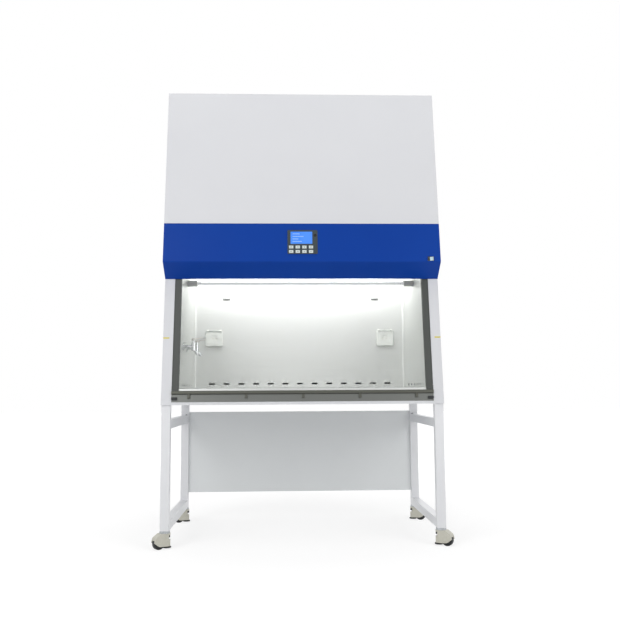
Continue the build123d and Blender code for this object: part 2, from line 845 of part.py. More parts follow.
def build_air_system():
    """Diffuser, both filters, and the plenum box between them with the blower's inlet."""
    half = half_chamber - filter_side_gap
    low = ceiling_z + running_gap
    front_y = slope(rise_at(low, -ceiling_front), -ceiling_front)[0]
    y_span = (front_y + diffuser_flange, rear_y - filter_side_gap)
    diffuser = block((-half, half), y_span, (low, low + diffuser_flange))
    inner = half - sheet
    diffuser -= block(
        (-inner, inner), (y_span[0] + sheet, y_span[1] - sheet), (low + liner_sheet, low + diffuser_flange))
    pitch_x = (2 * half - filter_frame) / diffuser_columns
    pitch_y = (y_span[1] - y_span[0] - filter_frame) / diffuser_rows
    hole = Box(diffuser_hole_length, diffuser_hole_width, 4 * liner_sheet)
    for place in GridLocations(pitch_x, pitch_y, diffuser_columns, diffuser_rows):
        diffuser -= Pos(0, sum(y_span) / 2, low) * place * hole
    parts["diffuser"] = diffuser

    filter_low = low + diffuser_flange + fit_gap
    parts["supply_filter"] = filter_block(half, y_span, filter_low)

    box_low = filter_low + filter_height + fit_gap
    exhaust_low = top_z - sheet - fit_gap - filter_height
    box_high = exhaust_low - fit_gap
    outline = side_face([
        slope(rise_at(box_low, -ceiling_front), -ceiling_front),
        slope(rise_at(box_high, -ceiling_front), -ceiling_front),
        (rear_y, box_high), (rear_y, box_low),
    ])
    inside = -ceiling_front - sheet
    hollow = side_face([
        slope(rise_at(box_low - 1, inside), inside),
        slope(rise_at(box_high - sheet, inside), inside),
        (rear_y - sheet, box_high - sheet), (rear_y - sheet, box_low - 1),
    ])
    box = across(outline, -half, half) - across(hollow, -half + sheet, half - sheet)
    blower_z = stand_height + blower_height
    box -= Pos(0, rear_y, blower_z) * Rot(90, 0, 0) * Cylinder(blower_inlet_radius, 10)
    middle_y = exhaust_filter_y()
    opening_x = exhaust_filter_length / 2 - filter_frame
    opening_y = exhaust_filter_width / 2 - filter_frame
    opening_span = (middle_y - opening_y, middle_y + opening_y)
    box -= block((-opening_x, opening_x), opening_span, (box_high - 2 * sheet, box_high + 1))
    parts["plenum_box"] = box
    parts["exhaust_filter"] = filter_block(
        exhaust_filter_length / 2,
        (middle_y - exhaust_filter_width / 2, middle_y + exhaust_filter_width / 2), exhaust_low)


def scroll_face(grow, duct_low):
    """The volute's outline with its outlet duct to the left and down, grown by an amount."""
    points = []
    for turn in range(0, scroll_turn + 1, scroll_step):
        angle = math.radians(turn - 90)
        radius = scroll_start_radius + scroll_growth * turn / scroll_turn + grow
        points.append((radius * math.cos(angle), radius * math.sin(angle)))
    outer_x = -scroll_start_radius - scroll_growth - grow
    inner_x = outer_x + blower_outlet_width + 2 * grow
    tongue_y = -scroll_start_radius - grow
    duct = Polyline(points[-1], (outer_x, duct_low), (inner_x, duct_low), (inner_x, tongue_y), points[0])
    return make_face(Spline(*points) + duct)


def build_blower():
    """Scroll housing on the plenum's back wall, squirrel-cage wheel and motor on one axis."""
    back = rear_y - sheet - fit_gap
    centre = Pos(0, back, stand_height + blower_height) * Rot(90, 0, 0)
    solid = extrude(scroll_face(blower_sheet, -blower_outlet_drop), amount=blower_depth)
    cavity = extrude(scroll_face(0, -blower_outlet_drop - 1), amount=blower_depth - 2 * blower_sheet)
    cavity = Pos(0, 0, blower_sheet) * cavity
    inlet = Cylinder(blower_inlet_radius, 6 * blower_sheet)
    shaft_hole = Pos(0, 0, blower_depth) * Cylinder(motor_shaft_radius + 2, 6 * blower_sheet)
    parts["blower_housing"] = centre * (solid - cavity - inlet - shaft_hole)

    wheel_low = (blower_depth - wheel_width) / 2
    plate_low = wheel_low + wheel_width - wheel_plate
    wheel = Pos(0, 0, plate_low) * rod(wheel_radius, wheel_plate)
    wheel += Pos(0, 0, wheel_low) * (rod(wheel_radius, wheel_plate) - rod(blade_inner_radius, wheel_plate))
    hub_low = plate_low - wheel_width / 3
    wheel += Pos(0, 0, hub_low) * rod(wheel_hub_radius, plate_low - hub_low)
    shaft_end = blower_depth + motor_bore_depth - motor_end_gap
    wheel += Pos(0, 0, hub_low) * rod(motor_shaft_radius, shaft_end - hub_low)
    blade_place = Pos((blade_inner_radius + wheel_radius) / 2, 0, wheel_low) * Rot(0, 0, blade_turn)
    blade = blade_place * Box(
        wheel_radius - blade_inner_radius - 1, blade_thickness, wheel_width - wheel_plate / 2,
        align=(Align.CENTER, Align.CENTER, Align.MIN))
    for i in range(blade_count):
        wheel += Rot(0, 0, i * 360 / blade_count) * blade
    parts["blower_wheel"] = centre * wheel

    motor = Pos(0, 0, blower_depth) * rod(motor_radius, motor_length)
    motor = fillet(motor.edges().sort_by(Axis.Z)[-1], motor_edge)
    motor += Pos(0, 0, blower_depth) * rod(motor_radius + motor_flange, motor_flange_thickness)
    motor -= Pos(0, 0, blower_depth) * rod(motor_shaft_radius + shaft_fit, motor_bore_depth)
    parts["blower_motor"] = centre * motor


def build_lamp():
    """The ultraviolet tube near the ceiling and its two holders on the side walls."""
    y = foot_y + lamp_depth
    z = stand_height + lamp_height
    along = Rot(0, 90, 0)
    tube = Cylinder(lamp_radius, lamp_length)
    for end in (-1, 1):
        for pin in (-1, 1):
            tube += Pos(pin * lamp_radius * 0.3, 0, end * (lamp_length + lamp_pin_length) / 2) * Cylinder(
                lamp_pin_radius, lamp_pin_length)
    parts["uv_lamp"] = Pos(0, y, z) * along * tube
    holder = block(
        (lamp_length / 2 - holder_grip, half_chamber - fit_gap),
        (y - holder_width / 2, y + holder_width / 2), (z - holder_height / 2, z + holder_height / 2))
    holder = fillet(holder.edges().filter_by(Axis.X), 5)
    reach_in = lamp_length / 2 + lamp_pin_length + running_gap
    holder -= Pos(0, y, z) * along * Cylinder(lamp_radius + fit_gap, 2 * reach_in)
    parts["lamp_holders"] = Compound(children=both_sides(holder))


def outlet_box():
    """A wall socket box with a round recess and two hinge ears with their pin."""
    half, tall = outlet_width / 2, outlet_tall / 2
    box = block((-half, half), (-outlet_depth, 0), (-tall, tall))
    box = fillet(box.edges().filter_by(Axis.Y), cover_radius)
    face = Pos(0, -outlet_depth, 0) * Rot(90, 0, 0)
    box -= face * Cylinder(outlet_socket_radius, 2 * outlet_socket_depth)
    for place in GridLocations(outlet_pin_pitch, 1, 2, 1):
        box -= face * place * Cylinder(outlet_pin_radius, 4 * outlet_socket_depth)
    pin_y, pin_z = cover_hinge_place()
    ear_x = cover_hinge_length / 2 + fit_gap
    ear_radius = cover_hinge_radius - fit_gap
    for sign in (-1, 1):
        side = sorted((sign * ear_x, sign * (ear_x + hinge_ear)))
        box += block(side, (-outlet_depth, 0), (tall - cover_radius, pin_z))
        box += block(side, (pin_y, 0), (pin_z - ear_radius, pin_z + ear_radius))
        ear_place = Pos(sign * (ear_x + hinge_ear / 2), pin_y, pin_z) * Rot(0, 90, 0)
        box += ear_place * Cylinder(ear_radius, hinge_ear)
    box += Pos(0, pin_y, pin_z) * Rot(0, 90, 0) * Cylinder(cover_pin_radius, 2 * ear_x)
    return box


def cover_hinge_place():
    """The hinge pin of a socket cover, from the middle of its box: (Y, Z)."""
    out = cover_hinge_radius + running_gap
    return -outlet_depth - out, outlet_tall / 2 + out


def outlet_cover():
    """The clear cover: a hollow lid with a rounded rim and a hinge barrel along its top."""
    back = -outlet_depth - running_gap
    half = outlet_width / 2
    lid = block((-half, half), (back - cover_depth, back), (-outlet_tall / 2, outlet_tall / 2))
    lid = fillet(lid.edges().filter_by(Axis.Y), cover_radius)
    cavity = block(
        (-half + cover_wall, half - cover_wall), (back - cover_depth + cover_wall, back),
        (-outlet_tall / 2 + cover_wall, outlet_tall / 2 - cover_wall))
    lid -= fillet(cavity.edges().filter_by(Axis.Y), cover_radius - cover_wall)
    pin_y, pin_z = cover_hinge_place()
    barrel = Pos(0, pin_y, pin_z) * Rot(0, 90, 0) * Cylinder(cover_hinge_radius, cover_hinge_length)
    barrel += block(
        (-cover_hinge_length / 2, cover_hinge_length / 2), (pin_y - cover_hinge_radius, pin_y),
        (outlet_tall / 2 - cover_wall, pin_z))
    bore = Pos(0, pin_y, pin_z) * Rot(0, 90, 0) * Cylinder(cover_pin_radius + axle_gap, outlet_width)
    return lid + barrel - bore


def build_outlets():
    boxes = []
    for side, sign in (("left", -1), ("right", 1)):
        place = Pos(sign * outlet_offset, rear_y - fit_gap, stand_height + outlet_height)
        boxes.append(place * outlet_box())
        parts[f"outlet_cover_{side}"] = place * outlet_cover()
    parts["outlet_boxes"] = Compound(children=boxes)


def tap_body():
    """A wall tap: rose, neck out to a valve body, its bonnet and a barbed hose nozzle."""
    rose = Rot(0, 90, 0) * rod(tap_plate_radius, tap_plate_thickness)
    neck = Rot(0, 90, 0) * rod(tap_neck_radius, tap_reach)
    body = Pos(tap_reach, 0, -tap_body_below) * rod(tap_body_radius, tap_body_below + tap_body_above)
    body = fillet(body.edges().filter_by(GeomType.CIRCLE), tap_body_radius / 4)
    bonnet = Pos(tap_reach, 0, tap_body_above) * rod(tap_bonnet_radius, tap_bonnet_height)
    down = Pos(tap_reach, 0, -tap_body_below / 2) * Rot(0, 180 - tap_nozzle_lean, 0)
    nozzle = down * rod(tap_nozzle_radius, tap_nozzle_length)
    for i in range(tap_barb_count):
        barb = Cone(
            tap_nozzle_radius * 1.3, tap_nozzle_radius, tap_nozzle_radius,
            align=(Align.CENTER, Align.CENTER, Align.MAX))
        nozzle += down * Pos(0, 0, tap_nozzle_length - tap_nozzle_radius * i) * barb
    top = tap_body_above + tap_bonnet_height
    stem_bore = Pos(tap_reach, 0, top - tap_stem_depth) * rod(tap_stem_radius + shaft_fit, tap_stem_depth)
    return rose + neck + body + bonnet + nozzle - stem_bore


def tap_handle():
    """A lever on its stem, pointing away from the wall when the tap is shut."""
    low = tap_body_above + tap_bonnet_height + running_gap
    hub = Pos(0, 0, low) * rod(tap_hub_radius, tap_hub_height)
    hub = fillet(hub.edges().sort_by(Axis.Z)[-1], tap_hub_radius / 3)
    root = low + tap_hub_height / 3
    tip = root + tap_lever_rise
    blade = make_face(Polyline(
        (0, root), (tap_lever_length, tip), (tap_lever_length, tip + tap_lever_thickness),
        (0, root + tap_lever_thickness), close=True,
    ))
    blade = extrude(Plane.XZ * blade, amount=tap_lever_width / 2, both=True)
    blade = fillet(blade.edges().filter_by(Axis.Z).sort_by(Axis.X)[-2:], tap_lever_width / 2.5)
    stem = Pos(0, 0, low - tap_stem_depth) * rod(tap_stem_radius, tap_stem_depth)
    return Pos(tap_reach, 0, 0) * (hub + blade + stem)


def build_taps():
    bodies = []
    for name, depth in zip(("front", "rear"), tap_depths):
        place = Pos(-half_chamber + fit_gap, foot_y + depth, stand_height + tap_height)
        bodies.append(place * tap_body())
        parts[f"tap_handle_{name}"] = place * tap_handle()
    parts["tap_bodies"] = Compound(children=bodies)


def key_places():
    """The middles of the keys on the band: (across, rise), left to right, top row first."""
    places = []
    for row in range(key_rows):
        for column in range(key_columns):
            x = key_across + (column - (key_columns - 1) / 2) * key_pitch_x
            rise = plate_rise + key_drop + ((key_rows - 1) / 2 - row) * key_pitch_y
            places.append((x, rise))
    return places


def build_controls():
    """The panel plate with its window, the display behind it, the keys and the power rocker."""
    plate = front * Pos(0, plate_rise, hood_reach) * extrude(
        RectangleRounded(plate_width, plate_height, plate_corner), amount=plate_thickness)
    window_x = display_width / 2 + running_gap
    window_y = display_height / 2 + running_gap
    display_middle = plate_rise + display_rise
    plate -= front_block(
        (display_across - window_x, display_across + window_x),
        (display_middle - window_y, display_middle + window_y), (hood_reach - 1, hood_reach + 4))
    hole = Box(key_width + 2 * key_gap, key_height + 2 * key_gap, 4 * plate_thickness)
    for x, rise in key_places():
        plate -= front * Pos(x, rise, hood_reach) * hole
    parts["control_plate"] = plate

    display_face = hood_reach + plate_thickness - 0.5
    parts["display"] = front_block(
        (display_across - display_width / 2, display_across + display_width / 2),
        (display_middle - display_height / 2, display_middle + display_height / 2),
        (display_face - display_depth, display_face))

    key_face = hood_reach + plate_thickness + key_travel + key_flush
    for number, (x, rise) in enumerate(key_places(), start=1):
        cap_low = hood_reach - running_gap
        cap = front_block(
            (x - key_width / 2, x + key_width / 2), (rise - key_height / 2, rise + key_height / 2),
            (cap_low, key_face))
        cap = chamfer(cap.faces().sort_by(Axis.Y)[0].edges(), key_edge)
        collar = front_block(
            (x - key_width / 2 - key_collar, x + key_width / 2 + key_collar),
            (rise - key_height / 2, rise + key_height / 2),
            (cap_low - key_collar, cap_low))
        parts[f"key_{number}"] = cap + collar

    half = rocker_width / 2
    lift = half * math.tan(math.radians(2 * rocker_tilt))
    profile = make_face(Polyline(
        (-half, -rocker_depth), (half, -rocker_depth), (half, lift), (0, 0), (-half, 0), close=True))
    swing = Pos(0, -rocker_pivot_depth) * Circle(half + rocker_end_gap)
    rocker = extrude(Plane.XZ * (profile & swing), amount=rocker_height / 2, both=True)
    parts["power_rocker"] = front * Pos(rocker_across, rocker_rise, hood_reach) * rocker


build_stand()
build_casters()
build_side_panels()
build_hood()
build_shell()
build_liners()
build_work_floor()
build_armrest()
build_sash()
build_sash_lift()
build_air_system()
build_blower()
build_lamp()
build_outlets()
build_taps()
build_controls()

for name, shape in parts.items():
    export_step(shape, f"parts/{name}.step")
print(len(parts), "nodes")
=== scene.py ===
"""Studio scene of a class II biosafety cabinet on its castored stand.

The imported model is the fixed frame. Each section dresses one part of the cabinet, in the order in
which it is put together: stand, casters, shell, chamber, sash, fittings, air system and controls.
"""
import math
import bmesh
import bpy
from mathutils import Matrix, Vector


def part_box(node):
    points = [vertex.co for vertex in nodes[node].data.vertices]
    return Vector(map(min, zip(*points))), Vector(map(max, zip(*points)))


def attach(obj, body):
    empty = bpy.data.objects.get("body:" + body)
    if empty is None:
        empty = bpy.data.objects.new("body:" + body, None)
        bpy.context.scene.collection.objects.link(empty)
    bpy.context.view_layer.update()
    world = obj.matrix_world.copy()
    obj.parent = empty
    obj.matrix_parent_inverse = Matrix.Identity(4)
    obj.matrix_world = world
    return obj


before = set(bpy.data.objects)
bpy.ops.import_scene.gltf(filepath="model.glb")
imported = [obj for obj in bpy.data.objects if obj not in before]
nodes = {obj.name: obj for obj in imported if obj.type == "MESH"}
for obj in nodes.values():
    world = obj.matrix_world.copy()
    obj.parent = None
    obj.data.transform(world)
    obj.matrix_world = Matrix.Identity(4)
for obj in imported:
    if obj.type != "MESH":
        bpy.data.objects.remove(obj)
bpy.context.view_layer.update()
scene = bpy.context.scene

# Studio
# White backdrop paper under the cabinet, lit by a large soft box on each side of the camera, one
# overhead and one behind. Camera, glossy and transmitted rays see plain white around it.


def linear(code):
    """An sRGB hex colour as the linear colour that a shader socket takes."""
    parts = [int(code[i:i + 2], 16) / 255 for i in (1, 3, 5)]
    return [p / 12.92 if p <= 0.04045 else ((p + 0.055) / 1.055) ** 2.4 for p in parts] + [1.0]


def put(tree, kind, inputs=None, links=None, **settings):
    """Adds one shader node with its settings, its socket values and the links into it."""
    node = tree.nodes.new(kind)
    for name, value in settings.items():
        setattr(node, name, value)
    for name, value in (inputs or {}).items():
        node.inputs[name].default_value = value
    for name, source in (links or {}).items():
        tree.links.new(source, node.inputs[name])
    return node


def empty_tree(name):
    """A new material and its node tree, with no nodes in it."""
    material = bpy.data.materials.new(name)
    material.use_nodes = True
    material.node_tree.nodes.clear()
    return material, material.node_tree


def deselect():
    """Leaves edit mode with nothing selected."""
    if bpy.context.mode != "OBJECT":
        bpy.ops.object.mode_set(mode="OBJECT")
    bpy.ops.object.select_all(action="DESELECT")


def seen_rays(tree):
    """One where a camera, glossy or transmitted ray looks, and zero for the light on the object."""
    rays = put(tree, "ShaderNodeLightPath")
    seen = put(
        tree, "ShaderNodeMath", operation="MAXIMUM",
        links={0: rays.outputs["Is Camera Ray"], 1: rays.outputs["Is Glossy Ray"]})
    seen_all = put(
        tree, "ShaderNodeMath", operation="MAXIMUM",
        links={0: seen.outputs[0], 1: rays.outputs["Is Transmission Ray"]})
    return seen_all.outputs[0]


glow_near = 0.72
glow_far = 1.0
glow_start = 0.6
glow_full = 3.5


def backdrop_paper():
    """White backdrop paper: it shows the cabinet's shadow and glows to plain white further off."""
    material, tree = empty_tree("white_backdrop_paper")
    place = put(tree, "ShaderNodeTexCoord")
    distance = put(
        tree, "ShaderNodeVectorMath", operation="LENGTH", links={0: place.outputs["Object"]})
    glow_strength = put(
        tree, "ShaderNodeMapRange",
        inputs={"From Min": glow_start, "From Max": glow_full, "To Min": glow_near, "To Max": glow_far},
        links={"Value": distance.outputs["Value"]})
    glow = put(
        tree, "ShaderNodeEmission", inputs={"Color": linear("#FFFFFF")},
        links={"Strength": glow_strength.outputs[0]})
    shaded = put(tree, "ShaderNodeBsdfDiffuse", inputs={"Color": linear("#949494"), "Roughness": 1.0})
    shown = put(tree, "ShaderNodeAddShader", links={0: glow.outputs[0], 1: shaded.outputs[0]})
    paper = put(tree, "ShaderNodeBsdfDiffuse", inputs={"Color": linear("#FAFAFA"), "Roughness": 1.0})
    mixed = put(
        tree, "ShaderNodeMixShader",
        links={0: seen_rays(tree), 1: paper.outputs[0], 2: shown.outputs[0]})
    put(tree, "ShaderNodeOutputMaterial", links={"Surface": mixed.outputs[0]})
    return material


floor_size = 40.0
floor_drop = 0.0005
deselect()
bpy.ops.mesh.primitive_plane_add(size=floor_size, location=(0, 0, -floor_drop))
studio_floor = bpy.context.object
studio_floor.name = "studio_floor"
studio_floor.data.materials.append(backdrop_paper())

ambient_strength = 0.5
world = bpy.data.worlds.new("studio_world")
scene.world = world
world.use_nodes = True
sky_tree = world.node_tree
sky_tree.nodes.clear()
ambient = put(
    sky_tree, "ShaderNodeBackground", inputs={"Color": linear("#FFFFFF"), "Strength": ambient_strength})
white = put(sky_tree, "ShaderNodeBackground", inputs={"Color": linear("#FFFFFF"), "Strength": 1.0})
sky = put(
    sky_tree, "ShaderNodeMixShader",
    links={0: seen_rays(sky_tree), 1: ambient.outputs[0], 2: white.outputs[0]})
put(sky_tree, "ShaderNodeOutputWorld", links={"Surface": sky.outputs[0]})


def soft_box(name, place, aim, width, height, watts):
    """A rectangular soft box at a place, turned towards its aim."""
    lamp = bpy.data.lights.new(name, "AREA")
    lamp.shape = "RECTANGLE"
    lamp.size = width
    lamp.size_y = height
    lamp.energy = watts
    box = bpy.data.objects.new(name, lamp)
    scene.collection.objects.link(box)
    box.location = place
    box.rotation_euler = (Vector(aim) - Vector(place)).to_track_quat("-Z", "Y").to_euler()
    return box


soft_box("key_soft_box", place=(-2.6, -4.2, 2.6), aim=(0, 0, 1.2), width=2.4, height=2.4, watts=58)
soft_box("fill_soft_box", place=(3.0, -3.8, 2.0), aim=(0, 0, 1.1), width=2.2, height=2.4, watts=38)
soft_box("top_soft_box", place=(0, -0.8, 4.4), aim=(0, 0, 1.0), width=3.0, height=2.4, watts=30)
soft_box("rear_soft_box", place=(0.6, 4.2, 2.6), aim=(0, 0, 1.1), width=2.6, height=2.4, watts=42)

# The front leans back by eight degrees from the foot of the base pan. Places on it are given across
# (to the right), by rise up the slope and by reach out of it, in metres.
front_lean = math.radians(8)
foot_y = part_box("base_pan")[0][1]
stand_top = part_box("base_pan")[0][2]
front_frame = Matrix.Translation((0, foot_y, stand_top)) @ Matrix.Rotation(math.pi / 2 - front_lean, 4, "X")

# The camera stands at the photograph's place, a little left of the middle and a little above the
# base pan's foot.
camera = bpy.data.objects.new("photo_camera", bpy.data.cameras.new("photo_camera"))
scene.collection.objects.link(camera)
camera.data.lens = 43.84
camera.data.sensor_width = 36
camera_across = -0.0936
camera_distance = 3.485
camera_height = 0.711
camera.location = (camera_across, foot_y - camera_distance, camera_height)
camera_yaw = math.radians(2.08)
camera_pitch = math.radians(5.99)
camera_roll = math.radians(-0.34)
camera.rotation_euler = (
    Matrix.Rotation(-camera_yaw, 3, "Z")
    @ Matrix.Rotation(math.pi / 2 + camera_pitch, 3, "X")
    @ Matrix.Rotation(camera_roll, 3, "Z")
).to_euler()
scene.camera = camera
scene.view_settings.view_transform = "Standard"

# Stand
# Two welded side frames of 40 mm square steel tube and a folded panel between the rear legs, all
# powder coated. A black socket-head bolt near the panel's top goes through each rear leg.


def powder_coat(name, colour, shade, roughness, specular=0.5):
    """Powder coat baked on steel sheet: even semi-gloss with a fine orange-peel ripple."""
    material, tree = empty_tree(name)
    place = put(tree, "ShaderNodeTexCoord")
    cloud = put(
        tree, "ShaderNodeTexNoise", inputs={"Scale": 2.2, "Detail": 3.0},
        links={"Vector": place.outputs["Object"]})
    tone = put(
        tree, "ShaderNodeMix", data_type="RGBA", inputs={6: linear(colour), 7: linear(shade)},
        links={0: cloud.outputs[0]})
    # The real ripple is about 1 mm wide; it is drawn at 4 mm so that it shows at all.
    peel = put(
        tree, "ShaderNodeTexNoise", inputs={"Scale": 250.0, "Detail": 1.0},
        links={"Vector": place.outputs["Object"]})
    ripple = put(
        tree, "ShaderNodeBump", inputs={"Strength": 0.1, "Distance": 0.0004},
        links={"Height": peel.outputs[0]})
    gloss = put(
        tree, "ShaderNodeMapRange", inputs={"To Min": roughness - 0.03, "To Max": roughness + 0.05},
        links={"Value": cloud.outputs[0]})
    coat = put(
        tree, "ShaderNodeBsdfPrincipled", inputs={"IOR": 1.5, "Specular IOR Level": specular},
        links={"Base Color": tone.outputs[2], "Roughness": gloss.outputs[0], "Normal": ripple.outputs[0]})
    put(tree, "ShaderNodeOutputMaterial", links={"Surface": coat.outputs[0]})
    return material


def dress(material, *names):
    """Gives CAD nodes a material."""
    for name in names:
        node = nodes[name]
        node.data.materials.clear()
        node.data.materials.append(material)


dress(powder_coat("frame_powder_coat", "#EDEEF0", "#E5E6E9", 0.34), "stand_left", "stand_right")
dress(powder_coat("panel_powder_coat", "#EEF1F1", "#E6E9EA", 0.2), "knee_panel")


def pick_faces(test):
    """Selects the faces of the piece in edit mode whose middle and normal pass a test."""
    bpy.ops.mesh.select_mode(type="FACE")
    bpy.ops.mesh.select_all(action="DESELECT")
    mesh = bmesh.from_edit_mesh(bpy.context.edit_object.data)
    for face in mesh.faces:
        face.select_set(bool(test(face.calc_center_median(), face.normal)))
    bmesh.update_edit_mesh(bpy.context.edit_object.data)


def pick_edges(test):
    """Selects the edges of the piece in edit mode whose two ends pass a test."""
    bpy.ops.mesh.select_mode(type="EDGE")
    bpy.ops.mesh.select_all(action="DESELECT")
    mesh = bmesh.from_edit_mesh(bpy.context.edit_object.data)
    for edge in mesh.edges:
        edge.select_set(bool(test(edge.verts[0].co, edge.verts[1].co)))
    bmesh.update_edit_mesh(bpy.context.edit_object.data)


def extrude_by(x=0.0, y=0.0, z=0.0):
    """Extrudes the selected faces by a distance."""
    bpy.ops.mesh.extrude_region_move(TRANSFORM_OT_translate={"value": (x, y, z)})


def smooth_by_angle(piece, degrees=35):
    """Leaves edit mode and smooths what turns by less than an angle."""
    deselect()
    piece.select_set(True)
    bpy.context.view_layer.objects.active = piece
    bpy.ops.object.shade_smooth_by_angle(angle=math.radians(degrees))
    deselect()


def screw_head(radius, height):
    """A button-head screw as seen from outside: a rounded rim and a driver socket, facing +Z."""
    rim_rounding = height * 0.45
    rim_width = radius * 0.28
    socket_depth = height * 0.5
    deselect()
    bpy.ops.mesh.primitive_cylinder_add(vertices=18, radius=radius, depth=height, location=(0, 0, height / 2))
    head = bpy.context.object
    bpy.ops.object.mode_set(mode="EDIT")
    pick_faces(lambda middle, normal: normal.z > 0.9)
    bpy.ops.mesh.bevel(offset=rim_rounding, segments=2, affect="EDGES")
    pick_faces(lambda middle, normal: normal.z > 0.99)
    bpy.ops.mesh.inset(thickness=rim_width)
    extrude_by(z=-socket_depth)
    smooth_by_angle(head)
    head.data.transform(head.matrix_basis)
    head.matrix_basis = Matrix()
    return head


def facing(x, y, z, way):
    """The place of a small part modelled facing +Z that stands at a point and faces a way."""
    turn = Vector(way).to_track_quat("Z", "Y").to_matrix().to_4x4()
    return Matrix.Translation((x, y, z)) @ turn


def copies(model, places):
    """Copies of a modelled piece at several places, joined into one piece. The model goes."""
    twins = []
    for place in places:
        twin = model.copy()
        twin.data = model.data.copy()
        twin.data.transform(place)
        scene.collection.objects.link(twin)
        twins.append(twin)
    bpy.data.objects.remove(model)
    deselect()
    for twin in twins:
        twin.select_set(True)
    bpy.context.view_layer.objects.active = twins[0]
    if len(twins) > 1:
        bpy.ops.object.join()
    return bpy.context.view_layer.objects.active


def settle(piece, name, material, body, place=None):
    """Names a modelled piece, puts its place in its mesh, and fixes it to the body that carries it."""
    piece.name = name
    piece.data.name = name
    piece.data.transform((place or Matrix()) @ piece.matrix_basis)
    piece.matrix_basis = Matrix()
    piece.data.materials.clear()
    piece.data.materials.append(material)
    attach(piece, body)
    return piece


def blacked_steel():
    """Black oxide on machined steel: near black, with a dull oily sheen."""
    material, tree = empty_tree("black_oxide_steel")
    place = put(tree, "ShaderNodeTexCoord")
    wear = put(
        tree, "ShaderNodeTexNoise", inputs={"Scale": 400.0, "Detail": 2.0},
        links={"Vector": place.outputs["Object"]})
    gloss = put(
        tree, "ShaderNodeMapRange", inputs={"To Min": 0.35, "To Max": 0.55}, links={"Value": wear.outputs[0]})
    steel = put(
        tree, "ShaderNodeBsdfPrincipled", inputs={"Base Color": linear("#2E3032"), "Metallic": 0.8},
        links={"Roughness": gloss.outputs[0]})
    put(tree, "ShaderNodeOutputMaterial", links={"Surface": steel.outputs[0]})
    return material


black_oxide = blacked_steel()
leg_bolt_radius = 0.0075
leg_bolt_height = 0.004
leg_bolt_drop = 0.02
leg_bolt_inset = 0.012
rear_leg_before_panel = 0.021
knee_low, knee_high = (Vector(corner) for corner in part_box("knee_panel"))
rear_leg_front = knee_low.y - rear_leg_before_panel
leg_bolts = copies(screw_head(leg_bolt_radius, leg_bolt_height), [
    facing(side * (knee_high.x + leg_bolt_inset), rear_leg_front, knee_high.z - leg_bolt_drop, (0, -1, 0))
    for side in (-1, 1)
])
settle(leg_bolts, "leg_bolts", black_oxide, "cabinet")

# Casters
# Four levelling casters: a cream painted die-cast housing, a black nylon wheel, and a screw foot
# with its rubber pad and thumbwheel. The mounting plates are zinc plated steel.


def moulded_plastic(name, colour, roughness, grain_scale=600.0, grain=0.12, ior=1.49):
    """Injection-moulded plastic: one colour all through, with the tool's fine spark-eroded grain."""
    material, tree = empty_tree(name)
    place = put(tree, "ShaderNodeTexCoord")
    skin = put(
        tree, "ShaderNodeTexNoise", inputs={"Scale": grain_scale, "Detail": 2.0},
        links={"Vector": place.outputs["Object"]})
    relief = put(
        tree, "ShaderNodeBump", inputs={"Strength": grain, "Distance": 0.0003},
        links={"Height": skin.outputs[0]})
    gloss = put(
        tree, "ShaderNodeMapRange", inputs={"To Min": roughness - 0.05, "To Max": roughness + 0.07},
        links={"Value": skin.outputs[0]})
    plastic = put(
        tree, "ShaderNodeBsdfPrincipled", inputs={"Base Color": linear(colour), "IOR": ior},
        links={"Roughness": gloss.outputs[0], "Normal": relief.outputs[0]})
    put(tree, "ShaderNodeOutputMaterial", links={"Surface": plastic.outputs[0]})
    return material


def painted_casting():
    """Cream enamel on a zinc die casting: glossy paint over a slightly wavy cast skin."""
    material, tree = empty_tree("enamelled_die_casting")
    place = put(tree, "ShaderNodeTexCoord")
    skin = put(
        tree, "ShaderNodeTexNoise", inputs={"Scale": 120.0, "Detail": 3.0},
        links={"Vector": place.outputs["Object"]})
    tone = put(
        tree, "ShaderNodeMix", data_type="RGBA", inputs={6: linear("#D6D4C8"), 7: linear("#C6C4B6")},
        links={0: skin.outputs[0]})
    relief = put(
        tree, "ShaderNodeBump", inputs={"Strength": 0.25, "Distance": 0.0006},
        links={"Height": skin.outputs[0]})
    paint = put(
        tree, "ShaderNodeBsdfPrincipled", inputs={"Roughness": 0.34, "IOR": 1.5},
        links={"Base Color": tone.outputs[2], "Normal": relief.outputs[0]})
    put(tree, "ShaderNodeOutputMaterial", links={"Surface": paint.outputs[0]})
    return material


def zinc_plate(name, colour, shade, spangle_size, roughness):
    """Zinc on steel: a pale bluish metal whose crystals show as flat patches of slightly other tone."""
    material, tree = empty_tree(name)
    place = put(tree, "ShaderNodeTexCoord")
    spangle = put(
        tree, "ShaderNodeTexVoronoi", inputs={"Scale": 1.0 / spangle_size},
        links={"Vector": place.outputs["Object"]})
    patch = put(tree, "ShaderNodeSeparateColor", links={0: spangle.outputs["Color"]})
    tone = put(
        tree, "ShaderNodeMix", data_type="RGBA", inputs={6: linear(colour), 7: linear(shade)},
        links={0: patch.outputs[0]})
    gloss = put(
        tree, "ShaderNodeMapRange", inputs={"To Min": roughness - 0.06, "To Max": roughness + 0.08},
        links={"Value": patch.outputs[1]})
    zinc = put(
        tree, "ShaderNodeBsdfPrincipled", inputs={"Metallic": 0.9},
        links={"Base Color": tone.outputs[2], "Roughness": gloss.outputs[0]})
    put(tree, "ShaderNodeOutputMaterial", links={"Surface": zinc.outputs[0]})
    return material


